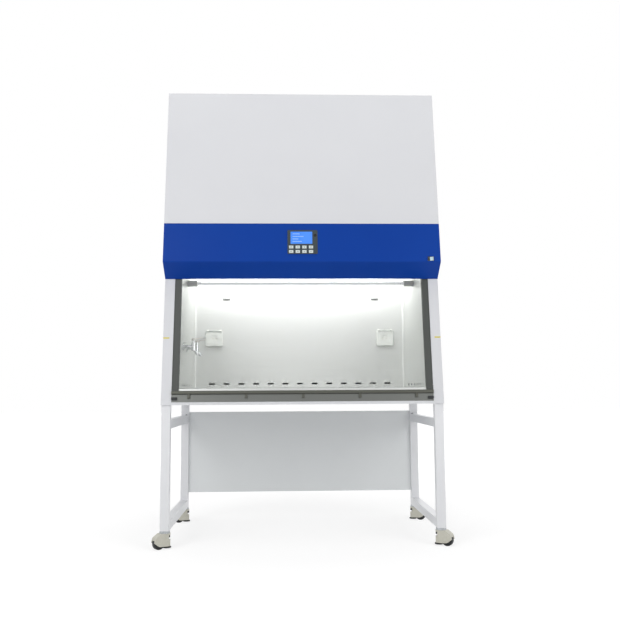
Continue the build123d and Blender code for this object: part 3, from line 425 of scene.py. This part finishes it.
def foot_rubber():
    """Vulcanised rubber: dark, matt and a little dusty."""
    material, tree = empty_tree("vulcanised_rubber")
    place = put(tree, "ShaderNodeTexCoord")
    dust = put(
        tree, "ShaderNodeTexNoise", inputs={"Scale": 90.0, "Detail": 4.0},
        links={"Vector": place.outputs["Object"]})
    tone = put(
        tree, "ShaderNodeMix", data_type="RGBA", inputs={6: linear("#1C1D1E"), 7: linear("#36383A")},
        links={0: dust.outputs[0]})
    rubber = put(
        tree, "ShaderNodeBsdfPrincipled", inputs={"Roughness": 0.72, "IOR": 1.52},
        links={"Base Color": tone.outputs[2]})
    put(tree, "ShaderNodeOutputMaterial", links={"Surface": rubber.outputs[0]})
    return material


corners = ("front_left", "front_right", "rear_left", "rear_right")
zinc_steel = zinc_plate("zinc_plated_steel", "#C9CCCE", "#A9ADB0", 0.004, 0.32)
black_rubber = foot_rubber()
dress(painted_casting(), *[f"caster_housing_{corner}" for corner in corners])
dress(moulded_plastic("black_nylon", "#26282A", 0.42), *[f"caster_wheel_{corner}" for corner in corners])
dress(black_rubber, *[f"levelling_foot_{corner}" for corner in corners])
dress(zinc_steel, "caster_plates")

# Shell
# Folded steel sheet: pale side trays, back, top and upper front cover, and the royal blue control
# band. Zinc screws sunk flush hold the back and top; a rubber grommet lines the cable entry.

light_paint = powder_coat("light_powder_coat", "#DEDFE2", "#D6D7DB", 0.32)
dress(
    light_paint,
    "side_panel_left", "side_panel_right", "back_panel", "top_panel", "front_cover", "base_pan")
dress(powder_coat("blue_powder_coat", "#0340A0", "#013893", 0.32, 0.15), "control_band")

panel_screw_radius = 0.005
panel_screw_height = 0.0022
panel_screw_sunk = 0.97
back_low, back_high = (Vector(corner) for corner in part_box("back_panel"))
back_columns = 4
back_rows = 5
top_columns = 5
top_rows = 3
edge_margin = 0.018


def along(low, high, count):
    """Evenly spaced places from low to high, both ends included."""
    return [low + (high - low) * i / (count - 1) for i in range(count)]


def around(x_span, y_span, x_count, y_count):
    """Places along the four sides of a rectangle, its corners included."""
    rows = along(*y_span, y_count)
    places = [(x, y) for x in along(*x_span, x_count) for y in (rows[0], rows[-1])]
    return places + [(x, y) for x in x_span for y in rows[1:-1]]


back_screw_places = around(
    (back_low.x + edge_margin, back_high.x - edge_margin),
    (back_low.z + edge_margin, back_high.z - edge_margin), back_columns, back_rows)
back_screws = copies(screw_head(panel_screw_radius, panel_screw_height), [
    facing(x, back_high.y - panel_screw_height * panel_screw_sunk, z, (0, 1, 0)) for x, z in back_screw_places
])
settle(back_screws, "back_panel_screws", zinc_steel, "cabinet")

top_low, top_high = (Vector(corner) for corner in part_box("top_panel"))
top_screw_places = around(
    (top_low.x + edge_margin, top_high.x - edge_margin),
    (top_low.y + edge_margin, top_high.y - edge_margin), top_columns, top_rows)
top_screws = copies(screw_head(panel_screw_radius, panel_screw_height), [
    facing(x, y, top_high.z - panel_screw_height * panel_screw_sunk, (0, 0, 1)) for x, y in top_screw_places
])
settle(top_screws, "top_panel_screws", zinc_steel, "cabinet")


def ring(inner, outer, thickness, bevel, steps=40):
    """A flat ring with rounded edges, about Z and standing on its base, spun from its section."""
    deselect()
    bpy.ops.mesh.primitive_plane_add(size=1.0, rotation=(math.pi / 2, 0, 0))
    piece = bpy.context.object
    piece.scale = (outer - inner, thickness, 1)
    piece.location = ((inner + outer) / 2, 0, thickness / 2)
    bpy.ops.object.transform_apply(location=True, rotation=True, scale=True)
    bpy.ops.object.mode_set(mode="EDIT")
    bpy.ops.mesh.select_all(action="SELECT")
    bpy.ops.mesh.bevel(offset=bevel, segments=3, affect="VERTICES")
    bpy.ops.mesh.select_all(action="SELECT")
    bpy.ops.mesh.delete(type="ONLY_FACE")
    bpy.ops.mesh.select_all(action="SELECT")
    bpy.ops.mesh.spin(steps=steps, angle=2 * math.pi, center=(0, 0, 0), axis=(0, 0, 1))
    bpy.ops.mesh.select_all(action="SELECT")
    bpy.ops.mesh.remove_doubles(threshold=1e-5)
    bpy.ops.mesh.normals_make_consistent(inside=False)
    smooth_by_angle(piece)
    return piece


cable_entry_radius = 0.014
cable_entry_drop = 0.2
cable_entry_across = 0.482
grommet_wall = 0.004
grommet_lip = 0.003
grommet_edge = 0.0009
grommet = ring(cable_entry_radius - grommet_wall, cable_entry_radius + grommet_lip, grommet_lip, grommet_edge)
settle(
    grommet, "cable_entry_grommet", black_rubber, "cabinet",
    facing(cable_entry_across, back_high.y - grommet_lip, top_high.z - cable_entry_drop, (0, 1, 0)))


def vinyl_tape():
    """Self-adhesive vinyl tape: flat yellow with a low plastic sheen and a slightly uneven lay."""
    material, tree = empty_tree("yellow_vinyl_tape")
    place = put(tree, "ShaderNodeTexCoord")
    lay = put(
        tree, "ShaderNodeTexNoise", inputs={"Scale": 150.0}, links={"Vector": place.outputs["Object"]})
    relief = put(
        tree, "ShaderNodeBump", inputs={"Strength": 0.2, "Distance": 0.0003},
        links={"Height": lay.outputs[0]})
    vinyl = put(
        tree, "ShaderNodeBsdfPrincipled",
        inputs={"Base Color": linear("#D8C83A"), "Roughness": 0.45, "IOR": 1.5},
        links={"Normal": relief.outputs[0]})
    put(tree, "ShaderNodeOutputMaterial", links={"Surface": vinyl.outputs[0]})
    return material


def rounded_slab(width, height, depth, corner, edge):
    """A slab standing on the XY plane, with rounded corners and softened upper edges."""
    deselect()
    bpy.ops.mesh.primitive_cube_add(size=1.0, location=(0, 0, depth / 2))
    slab = bpy.context.object
    slab.scale = (width, height, depth)
    bpy.ops.object.transform_apply(location=True, rotation=True, scale=True)
    bpy.ops.object.mode_set(mode="EDIT")
    pick_edges(lambda a, b: abs(a.z - b.z) > depth / 2)
    bpy.ops.mesh.bevel(offset=corner, segments=4, affect="EDGES")
    pick_edges(lambda a, b: min(a.z, b.z) > depth * 0.99)
    bpy.ops.mesh.bevel(offset=edge, segments=2, affect="EDGES")
    smooth_by_angle(slab)
    return slab


tape_length = 0.028
tape_height = 0.006
tape_thickness = 0.0004
tape_corner = 0.0008
tape_edge = 0.0001
tape_rise = 0.313
tape_across = 0.635
tape_marks = copies(rounded_slab(tape_length, tape_height, tape_thickness, tape_corner, tape_edge), [
    front_frame @ Matrix.Translation((side * tape_across, tape_rise, 0)) for side in (-1, 1)
])
settle(tape_marks, "sash_height_marks", vinyl_tape(), "cabinet")

# Chamber
# The work chamber: brushed stainless sheet with rounded corners and air slots, a dished tray as its
# floor and a perforated ceiling. It is lit from high up before the rear wall, on which two small
# folded hooks hang.


def brushed_stainless(
        name, colour, shade, roughness, grain, metallic=0.9, painted_shade_colour=None, painted_shade_before=None):
    """Stainless sheet with a brushed finish: long fine scratches, so that reflections spread wide.

    Where a painted shade colour is given, the steel that lies before a given depth has that colour: painted
    shade.
    """
    material, tree = empty_tree(name)
    place = put(tree, "ShaderNodeTexCoord")
    # Real brush lines are a tenth of a millimetre apart; these are drawn about 4 mm apart.
    stretch = put(
        tree, "ShaderNodeMapping", inputs={"Scale": grain}, links={"Vector": place.outputs["Object"]})
    scratch = put(
        tree, "ShaderNodeTexNoise", inputs={"Scale": 1.0, "Detail": 3.0, "Roughness": 0.6},
        links={"Vector": stretch.outputs[0]})
    tone = put(
        tree, "ShaderNodeMix", data_type="RGBA", inputs={6: linear(colour), 7: linear(shade)},
        links={0: scratch.outputs[0]})
    gloss = put(
        tree, "ShaderNodeMapRange", inputs={"To Min": roughness - 0.06, "To Max": roughness + 0.08},
        links={"Value": scratch.outputs[0]})
    relief = put(
        tree, "ShaderNodeBump", inputs={"Strength": 0.04, "Distance": 0.0003},
        links={"Height": scratch.outputs[0]})
    # Painted shade: the steel before the given depth takes the darker colour instead of its own.
    if painted_shade_colour is not None:
        axes = put(tree, "ShaderNodeSeparateXYZ", links={0: place.outputs["Object"]})
        painted_shade_mask = put(
            tree, "ShaderNodeMath", operation="LESS_THAN", inputs={1: painted_shade_before},
            links={0: axes.outputs[1]})
        tone = put(
            tree, "ShaderNodeMix", data_type="RGBA", inputs={7: linear(painted_shade_colour)},
            links={0: painted_shade_mask.outputs[0], 6: tone.outputs[2]})
    steel = put(
        tree, "ShaderNodeBsdfPrincipled", inputs={"Metallic": metallic},
        links={"Base Color": tone.outputs[2], "Roughness": gloss.outputs[0], "Normal": relief.outputs[0]})
    put(tree, "ShaderNodeOutputMaterial", links={"Surface": steel.outputs[0]})
    return material


along_x = (3.0, 240.0, 240.0)
along_y = (240.0, 3.0, 240.0)
wall_steel = brushed_stainless("brushed_stainless_wall", "#DDDEDC", "#CFD1CE", 0.46, along_x, 0.6)
side_steel = brushed_stainless("brushed_stainless_side", "#DDDEDC", "#CFD1CE", 0.46, along_y, 0.6)
floor_steel = brushed_stainless("brushed_stainless_floor", "#D0D2D0", "#C0C2C0", 0.34, along_x)
apron_depth = 0.02
# The apron, the front 20 mm of the grille, is painted dark grey: painted shade below the armrest bar.
grille_steel = brushed_stainless(
    "brushed_stainless_grille", "#D0D2D0", "#C0C2C0", 0.34, along_x,
    painted_shade_colour="#6E706D", painted_shade_before=foot_y + apron_depth)
dress(grille_steel, "front_grille")
dress(wall_steel, "rear_liner", "diffuser")
dress(side_steel, "side_liner_left", "side_liner_right")
dress(floor_steel, "work_tray")

chamber_high = Vector(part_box("rear_liner")[1])
lamp_before_wall = 0.2
lamp_below_ceiling = 0.03
lamp_aim_behind_wall = 0.1
lamp_aim_drop = 0.35
soft_box(
    "chamber_lamp",
    place=(0, chamber_high.y - lamp_before_wall, chamber_high.z - lamp_below_ceiling),
    aim=(0, chamber_high.y + lamp_aim_behind_wall, chamber_high.z - lamp_aim_drop),
    width=1.12, height=0.12, watts=5.6)


def finish_with(piece, kind, **settings):
    """Adds a modifier with its settings to a piece and applies it."""
    deselect()
    piece.select_set(True)
    bpy.context.view_layer.objects.active = piece
    modifier = piece.modifiers.new(kind, kind)
    for name, value in settings.items():
        setattr(modifier, name, value)
    bpy.ops.object.modifier_apply(modifier=modifier.name)
    deselect()


hook_length = 0.04
hook_back = 0.012
hook_shelf = 0.01
hook_lip = 0.005
hook_sheet = 0.0012
hook_places = (-0.402, 0.415)
hook_height = 1.21


def wall_hook():
    """A folded strip of sheet: a flat back, a shelf along its foot and an upturned lip."""
    deselect()
    bpy.ops.mesh.primitive_plane_add(size=1.0, rotation=(math.pi / 2, 0, 0))
    hook = bpy.context.object
    hook.scale = (hook_length, hook_back, 1)
    bpy.ops.object.transform_apply(location=True, rotation=True, scale=True)
    bpy.ops.object.mode_set(mode="EDIT")
    pick_edges(lambda a, b: max(a.z, b.z) < -hook_back * 0.49)
    extrude_by(y=-hook_shelf)
    extrude_by(z=hook_lip)
    finish_with(hook, "SOLIDIFY", thickness=hook_sheet, offset=1.0)
    finish_with(hook, "BEVEL", width=hook_sheet / 4, segments=2)
    smooth_by_angle(hook)
    return hook


# The hooks are the wall's brushed stainless in a much darker grey: painted shade.
hook_steel_painted_shade = brushed_stainless("brushed_stainless_hook_painted_shade", "#8C8E8C", "#7C7E7C", 0.4, along_x)
liner_sheet = 0.0012
rear_wall_y = chamber_high.y - liner_sheet
wall_hooks = copies(wall_hook(), [
    Matrix.Translation((across, rear_wall_y, hook_height)) for across in hook_places
])
settle(wall_hooks, "wall_hooks", hook_steel_painted_shade, "cabinet")

# Sash
# A pane of clear float glass with a stainless edge along its foot, running in dark grey extruded
# plastic guides on the posts. Seen face on, the glass only lowers the contrast a little.


def float_glass():
    """Clear float glass: the faintest grey green of its own, and a sharp faint reflection."""
    material, tree = empty_tree("clear_float_glass")
    place = put(tree, "ShaderNodeTexCoord")
    film = put(
        tree, "ShaderNodeTexNoise", inputs={"Scale": 5.0, "Detail": 2.0},
        links={"Vector": place.outputs["Object"]})
    gloss = put(
        tree, "ShaderNodeMapRange", inputs={"To Min": 0.01, "To Max": 0.05}, links={"Value": film.outputs[0]})
    glass = put(
        tree, "ShaderNodeBsdfPrincipled",
        inputs={"Base Color": linear("#3A4A44"), "IOR": 1.52, "Alpha": 0.06},
        links={"Roughness": gloss.outputs[0]})
    put(tree, "ShaderNodeOutputMaterial", links={"Surface": glass.outputs[0]})
    return material


dress(float_glass(), "sash_glass")
dress(floor_steel, "sash_edge")
dress(moulded_plastic("extruded_hard_pvc", "#414441", 0.38, 300.0), "sash_guides")

# Sill
# A steel bar on five brackets in front of the grille's apron, its dark grey a painted reflection, and
# two hard rubber blocks that end it at the posts.


def bar_steel_painted_reflection():
    """Stainless steel brushed along its length, coloured dark grey: a painted reflection of the floor in a
    dark tone.
    """
    return brushed_stainless("stainless_bar_painted_reflection", "#5E5F58", "#50514B", 0.4, along_x)


dress(bar_steel_painted_reflection(), "armrest")

bar_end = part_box("armrest")[1][0]
end_block_width = 0.026
end_block_height = 0.013
end_block_depth = 0.008
end_block_corner = 0.003
end_block_edge = 0.001
end_block_rise = 0.029
end_block = rounded_slab(
    end_block_width, end_block_height, end_block_depth, end_block_corner, end_block_edge)
end_blocks = copies(end_block, [
    front_frame @ Matrix.Translation((side * (bar_end - end_block_width / 2), end_block_rise, 0))
    for side in (-1, 1)
])
settle(end_blocks, "sill_end_blocks", black_rubber, "cabinet")

# Lamp and sockets
# An ultraviolet tube with aluminium caps hangs near the ceiling between two white holders. Two wall
# sockets on the rear wall have clear hinged splash covers and brass contacts.


lamp_cap_length = 0.03


def quartz_tube():
    """Frosty white quartz glass with spun aluminium caps at both ends of the tube."""
    material, tree = empty_tree("quartz_glass_tube")
    place = put(tree, "ShaderNodeTexCoord")
    axes = put(tree, "ShaderNodeSeparateXYZ", links={0: place.outputs["Object"]})
    from_middle = put(tree, "ShaderNodeMath", operation="ABSOLUTE", links={0: axes.outputs[0]})
    cap_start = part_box("uv_lamp")[1][0] - lamp_cap_length
    cap = put(
        tree, "ShaderNodeMath", operation="GREATER_THAN", inputs={1: cap_start},
        links={0: from_middle.outputs[0]})
    tone = put(
        tree, "ShaderNodeMix", data_type="RGBA", inputs={6: linear("#E4E8E8"), 7: linear("#B9BCBE")},
        links={0: cap.outputs[0]})
    # The frosted wall scatters the chamber's light through the tube, drawn as a weak even glow.
    tube = put(
        tree, "ShaderNodeBsdfPrincipled",
        inputs={
            "Roughness": 0.12, "IOR": 1.46, "Emission Color": linear("#F4F6F6"), "Emission Strength": 0.4},
        links={"Base Color": tone.outputs[2], "Metallic": cap.outputs[0]})
    put(tree, "ShaderNodeOutputMaterial", links={"Surface": tube.outputs[0]})
    return material


def clear_plastic():
    """Clear polycarbonate moulding: see-through, with soft gleams on its rounded rim."""
    material, tree = empty_tree("clear_polycarbonate")
    place = put(tree, "ShaderNodeTexCoord")
    flow = put(
        tree, "ShaderNodeTexNoise", inputs={"Scale": 40.0}, links={"Vector": place.outputs["Object"]})
    gloss = put(
        tree, "ShaderNodeMapRange", inputs={"To Min": 0.04, "To Max": 0.12}, links={"Value": flow.outputs[0]})
    plastic = put(
        tree, "ShaderNodeBsdfPrincipled",
        inputs={"Base Color": linear("#DDE6E4"), "IOR": 1.5, "Alpha": 0.1},
        links={"Roughness": gloss.outputs[0]})
    put(tree, "ShaderNodeOutputMaterial", links={"Surface": plastic.outputs[0]})
    return material


white_plastic = moulded_plastic("white_abs", "#E9E9E4", 0.32)
dress(quartz_tube(), "uv_lamp")
dress(white_plastic, "lamp_holders", "outlet_boxes")
dress(clear_plastic(), "outlet_cover_left", "outlet_cover_right")


def turned_brass():
    """Turned brass: warm yellow metal, its gloss a little uneven from the lathe."""
    material, tree = empty_tree("turned_brass")
    place = put(tree, "ShaderNodeTexCoord")
    tool_marks = put(
        tree, "ShaderNodeTexNoise", inputs={"Scale": 700.0}, links={"Vector": place.outputs["Object"]})
    gloss = put(
        tree, "ShaderNodeMapRange", inputs={"To Min": 0.2, "To Max": 0.35},
        links={"Value": tool_marks.outputs[0]})
    brass = put(
        tree, "ShaderNodeBsdfPrincipled", inputs={"Base Color": linear("#C9A85A"), "Metallic": 1.0},
        links={"Roughness": gloss.outputs[0]})
    put(tree, "ShaderNodeOutputMaterial", links={"Surface": brass.outputs[0]})
    return material


contact_pitch = 0.019
contact_outer = 0.0023
contact_inner = 0.0015
contact_length = 0.003
contact_edge = 0.0002
contact_steps = 16
socket_floor_depth = 0.008
socket_height = 0.988
socket_across = 0.468
socket_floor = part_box("outlet_boxes")[1][1] - socket_floor_depth
contact_places = [
    facing(side * socket_across + pin * contact_pitch / 2, socket_floor, socket_height, (0, -1, 0))
    @ Matrix.Translation((0, 0, -contact_length))
    for side in (-1, 1) for pin in (-1, 1)
]
contact = ring(contact_inner, contact_outer, contact_length, contact_edge, contact_steps)
contacts = copies(contact, contact_places)
settle(contacts, "socket_contacts", turned_brass(), "cabinet")

# Taps
# Two service taps on the left wall: chromed brass bodies with hose nozzles, and white enamelled
# levers.


def chromed_brass():
    """Bright chrome plate on polished brass: a clean mirror with the faintest haze."""
    material, tree = empty_tree("chromed_brass")
    place = put(tree, "ShaderNodeTexCoord")
    haze = put(
        tree, "ShaderNodeTexNoise", inputs={"Scale": 80.0}, links={"Vector": place.outputs["Object"]})
    gloss = put(
        tree, "ShaderNodeMapRange", inputs={"To Min": 0.08, "To Max": 0.16}, links={"Value": haze.outputs[0]})
    chrome = put(
        tree, "ShaderNodeBsdfPrincipled", inputs={"Base Color": linear("#DADCDD"), "Metallic": 1.0},
        links={"Roughness": gloss.outputs[0]})
    put(tree, "ShaderNodeOutputMaterial", links={"Surface": chrome.outputs[0]})
    return material


dress(chromed_brass(), "tap_bodies")
dress(moulded_plastic("enamelled_lever", "#EDE9E4", 0.25), "tap_handle_front", "tap_handle_rear")

# Sash lift and air system
# Behind the hood: a bright steel lift shaft and a cast iron counterweight, and the galvanised
# plenum with the blower, its motor and the two pleated filters.


def cast_iron():
    """Bare grey cast iron: dark, rough and matt, with a sandy skin."""
    material, tree = empty_tree("grey_cast_iron")
    place = put(tree, "ShaderNodeTexCoord")
    sand = put(
        tree, "ShaderNodeTexNoise", inputs={"Scale": 350.0, "Detail": 4.0},
        links={"Vector": place.outputs["Object"]})
    tone = put(
        tree, "ShaderNodeMix", data_type="RGBA", inputs={6: linear("#4B4C4E"), 7: linear("#626365")},
        links={0: sand.outputs[0]})
    relief = put(
        tree, "ShaderNodeBump", inputs={"Strength": 0.5, "Distance": 0.0008},
        links={"Height": sand.outputs[0]})
    iron = put(
        tree, "ShaderNodeBsdfPrincipled", inputs={"Metallic": 0.6, "Roughness": 0.62},
        links={"Base Color": tone.outputs[2], "Normal": relief.outputs[0]})
    put(tree, "ShaderNodeOutputMaterial", links={"Surface": iron.outputs[0]})
    return material


def filter_frame_wood():
    """Filter frame of sealed particle board: pale, matt and slightly speckled."""
    material, tree = empty_tree("sealed_particle_board")
    place = put(tree, "ShaderNodeTexCoord")
    chips = put(
        tree, "ShaderNodeTexVoronoi", inputs={"Scale": 320.0}, links={"Vector": place.outputs["Object"]})
    patch = put(tree, "ShaderNodeSeparateColor", links={0: chips.outputs["Color"]})
    tone = put(
        tree, "ShaderNodeMix", data_type="RGBA", inputs={6: linear("#D9CBAE"), 7: linear("#C9B893")},
        links={0: patch.outputs[0]})
    board = put(
        tree, "ShaderNodeBsdfPrincipled", inputs={"Roughness": 0.7}, links={"Base Color": tone.outputs[2]})
    put(tree, "ShaderNodeOutputMaterial", links={"Surface": board.outputs[0]})
    return material


def glass_fibre_paper():
    """Glass-fibre filter paper: white, fibrous and quite matt."""
    material, tree = empty_tree("glass_fibre_paper")
    place = put(tree, "ShaderNodeTexCoord")
    fibre = put(
        tree, "ShaderNodeTexNoise", inputs={"Scale": 500.0, "Detail": 5.0},
        links={"Vector": place.outputs["Object"]})
    tone = put(
        tree, "ShaderNodeMix", data_type="RGBA", inputs={6: linear("#F2F2EE"), 7: linear("#E2E2DC")},
        links={0: fibre.outputs[0]})
    paper = put(
        tree, "ShaderNodeBsdfPrincipled", inputs={"Roughness": 0.85}, links={"Base Color": tone.outputs[2]})
    put(tree, "ShaderNodeOutputMaterial", links={"Surface": paper.outputs[0]})
    return material


dress(cast_iron(), "counterweight")
dress(brushed_stainless("ground_bright_steel", "#C6C8CA", "#B4B6B8", 0.22, along_x, 1.0), "lift_shaft")
galvanised = zinc_plate("galvanised_sheet", "#C3C7C9", "#A4A9AC", 0.012, 0.38)
dress(galvanised, "plenum_box", "blower_housing", "blower_wheel")
dress(powder_coat("motor_hammer_paint", "#4C5257", "#40464B", 0.4), "blower_motor")
dress(filter_frame_wood(), "supply_filter", "exhaust_filter")

filter_frame_width = 0.015
filter_recess = 0.006
pleat_pitch = 0.008
pleat_depth = 0.0045
pleat_clearance = 0.1


def pleated_media(name, node, upper):
    """The pleated paper in one face of a filter: a sheet whose every other line is pushed outwards."""
    low, high = (Vector(corner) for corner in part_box(node))
    width = high.x - low.x - 2 * filter_frame_width
    depth = high.y - low.y - 2 * filter_frame_width
    face_z = high.z - filter_recess if upper else low.z + filter_recess
    lift = pleat_depth if upper else -pleat_depth
    columns = 2 * round(width / pleat_pitch / 2)
    deselect()
    bpy.ops.mesh.primitive_grid_add(
        x_subdivisions=columns, y_subdivisions=1, size=1.0,
        location=((low.x + high.x) / 2, (low.y + high.y) / 2, face_z + lift * pleat_clearance))
    media = bpy.context.object
    media.scale = (width, depth, 1)
    bpy.ops.object.mode_set(mode="EDIT")
    step = 1.0 / columns
    pick_edges(lambda a, b: abs(a.x - b.x) < step / 2 and round((a.x + 0.5) / step) % 2 == 1)
    bpy.ops.transform.translate(value=(0, 0, lift))
    deselect()
    return settle(media, name, filter_paper, "cabinet")


filter_paper = glass_fibre_paper()
pleated_media("supply_filter_media", "supply_filter", False)
pleated_media("exhaust_filter_media", "exhaust_filter", True)

# Controls
# A dark foil panel on the blue band with a backlit display, a round black sensor lens and eight pale
# rubber keys, and a pale rocker switch in a black bezel at the band's right end, its left third painted
# shade.


def printed_foil():
    """Printed polyester foil: dark grey with a fine pebble and a satin sheen."""
    return moulded_plastic("printed_polyester_foil", "#2C383E", 0.36, 900.0, 0.2)


def backlit_display():
    """A blue backlit display behind clear film: a glow that varies a little over its face."""
    material, tree = empty_tree("backlit_display")
    place = put(tree, "ShaderNodeTexCoord")
    glow = put(
        tree, "ShaderNodeTexNoise", inputs={"Scale": 14.0, "Detail": 0.0},
        links={"Vector": place.outputs["Object"]})
    tone = put(
        tree, "ShaderNodeMix", data_type="RGBA", inputs={6: linear("#2F7FFA"), 7: linear("#5AA2FF")},
        links={0: glow.outputs[0]})
    film = put(
        tree, "ShaderNodeBsdfPrincipled",
        inputs={"Base Color": linear("#16407E"), "Roughness": 0.15, "Emission Strength": 0.8},
        links={"Emission Color": tone.outputs[2]})
    put(tree, "ShaderNodeOutputMaterial", links={"Surface": film.outputs[0]})
    return material


dress(printed_foil(), "control_plate")
dress(backlit_display(), "display")
key_names = [f"key_{number}" for number in range(1, 9)]
dress(moulded_plastic("pale_silicone_rubber", "#D5DEDC", 0.55), *key_names)


def rocker_with_painted_shade():
    """A pale grey blue moulded rocker whose left third is painted black: the bezel's painted shadow."""
    material, tree = empty_tree("pale_nylon_with_painted_shade")
    place = put(tree, "ShaderNodeTexCoord")
    axes = put(tree, "ShaderNodeSeparateXYZ", links={0: place.outputs["Object"]})
    low, high = (Vector(corner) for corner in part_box("power_rocker"))
    # Painted shade: the left third of the rocker is black for the bezel's shadow on it.
    border = low.x + (high.x - low.x) / 3
    pale = put(
        tree, "ShaderNodeMath", operation="GREATER_THAN", inputs={1: border},
        links={0: axes.outputs[0]})
    tone = put(
        tree, "ShaderNodeMix", data_type="RGBA", inputs={6: linear("#202224"), 7: linear("#BFD8E0")},
        links={0: pale.outputs[0]})
    nylon = put(
        tree, "ShaderNodeBsdfPrincipled", inputs={"Roughness": 0.32, "IOR": 1.53},
        links={"Base Color": tone.outputs[2]})
    put(tree, "ShaderNodeOutputMaterial", links={"Surface": nylon.outputs[0]})
    return material


dress(rocker_with_painted_shade(), "power_rocker")

bezel_width = 0.031
bezel_height = 0.022
bezel_rim = 0.0015
bezel_depth = 0.002
bezel_edge = 0.0005
hood_reach = 0.096
rocker_across = 0.603
rocker_rise = 0.669


def switch_bezel():
    """The rim round the rocker: a flat plate with its middle cut out, thickened and softened."""
    deselect()
    bpy.ops.mesh.primitive_plane_add(size=1.0)
    bezel = bpy.context.object
    bezel.scale = (bezel_width, bezel_height, 1)
    bpy.ops.object.transform_apply(location=True, rotation=True, scale=True)
    bpy.ops.object.mode_set(mode="EDIT")
    bpy.ops.mesh.select_all(action="SELECT")
    bpy.ops.mesh.inset(thickness=bezel_rim)
    bpy.ops.mesh.delete(type="FACE")
    finish_with(bezel, "SOLIDIFY", thickness=bezel_depth, offset=1.0)
    finish_with(bezel, "BEVEL", width=bezel_edge, segments=2)
    smooth_by_angle(bezel)
    return bezel


black_plastic = moulded_plastic("black_abs", "#1D1F21", 0.35)
settle(
    switch_bezel(), "rocker_bezel", black_plastic, "cabinet",
    front_frame @ Matrix.Translation((rocker_across, rocker_rise, hood_reach)))

plate_thickness = 0.0025
plate_rise = 0.751
plate_face = hood_reach + plate_thickness
lens_across = 0.0595
lens_rise = 0.784
lens_radius = 0.0068
lens_height = 0.0012


def sensor_window():
    """The round dark window over the sensor: a low disc with a bevelled rim and a dished middle."""
    deselect()
    bpy.ops.mesh.primitive_cylinder_add(
        vertices=32, radius=lens_radius, depth=lens_height, location=(0, 0, lens_height / 2))
    window = bpy.context.object
    bpy.ops.object.mode_set(mode="EDIT")
    pick_faces(lambda middle, normal: normal.z > 0.9)
    bpy.ops.mesh.bevel(offset=lens_height / 3, segments=2, affect="EDGES")
    pick_faces(lambda middle, normal: normal.z > 0.99)
    bpy.ops.mesh.inset(thickness=lens_radius / 4, depth=-lens_height / 6)
    smooth_by_angle(window)
    return window


settle(
    sensor_window(), "sensor_lens", moulded_plastic("black_acrylic_window", "#090A0B", 0.15), "cabinet",
    front_frame @ Matrix.Translation((lens_across, lens_rise, plate_face)))


def screen_print(name, colour):
    """Screen-printed ink: flat, even and slightly less glossy than the film it lies on."""
    material, tree = empty_tree(name)
    place = put(tree, "ShaderNodeTexCoord")
    screen_marks = put(
        tree, "ShaderNodeTexNoise", inputs={"Scale": 900.0}, links={"Vector": place.outputs["Object"]})
    gloss = put(
        tree, "ShaderNodeMapRange", inputs={"To Min": 0.5, "To Max": 0.62},
        links={"Value": screen_marks.outputs[0]})
    ink = put(
        tree, "ShaderNodeBsdfPrincipled", inputs={"Base Color": linear(colour)},
        links={"Roughness": gloss.outputs[0]})
    put(tree, "ShaderNodeOutputMaterial", links={"Surface": ink.outputs[0]})
    return material


print_height = 0.0002
print_edge = 0.00005
display_face = hood_reach + 0.002
display_rise = 0.772
bar_lengths = (0.034, 0.052, 0.028, 0.044)
bar_height = 0.004
bar_corner = 0.0008
bar_pitch = 0.0125
bar_left = -0.047
segment_ink = screen_print("pale_segment_ink", "#8FBDFF")
for row, length in enumerate(bar_lengths):
    rise = display_rise + (1.5 - row) * bar_pitch
    place = Matrix.Translation((bar_left + length / 2, rise, display_face))
    settle(
        rounded_slab(length, bar_height, print_height, bar_corner, print_edge),
        f"display_bar_{row + 1}", segment_ink, "cabinet", front_frame @ place)

key_stand = 0.0015
key_face = plate_face + key_stand
key_pitch_across = 0.031
key_pitch_rise = 0.022
keys_across = -0.007
keys_rise = plate_rise - 0.0365
circle_inner = 0.0022
circle_outer = 0.0032
circle_steps = 24
dash_width = 0.008
dash_height = 0.0016
dash_corner = 0.0006
key_ink = screen_print("dark_key_ink", "#4A5456")
key_middles = [
    (keys_across + (column - 1.5) * key_pitch_across, keys_rise + (0.5 - row) * key_pitch_rise)
    for row in range(2) for column in range(4)
]
for number, (across, rise) in enumerate(key_middles, start=1):
    if number <= 4:
        mark = ring(circle_inner, circle_outer, print_height, print_edge, circle_steps)
    else:
        mark = rounded_slab(dash_width, dash_height, print_height, dash_corner, print_edge)
    settle(
        mark, f"key_{number}_mark", key_ink, f"key_{number}",
        front_frame @ Matrix.Translation((across, rise, key_face)))
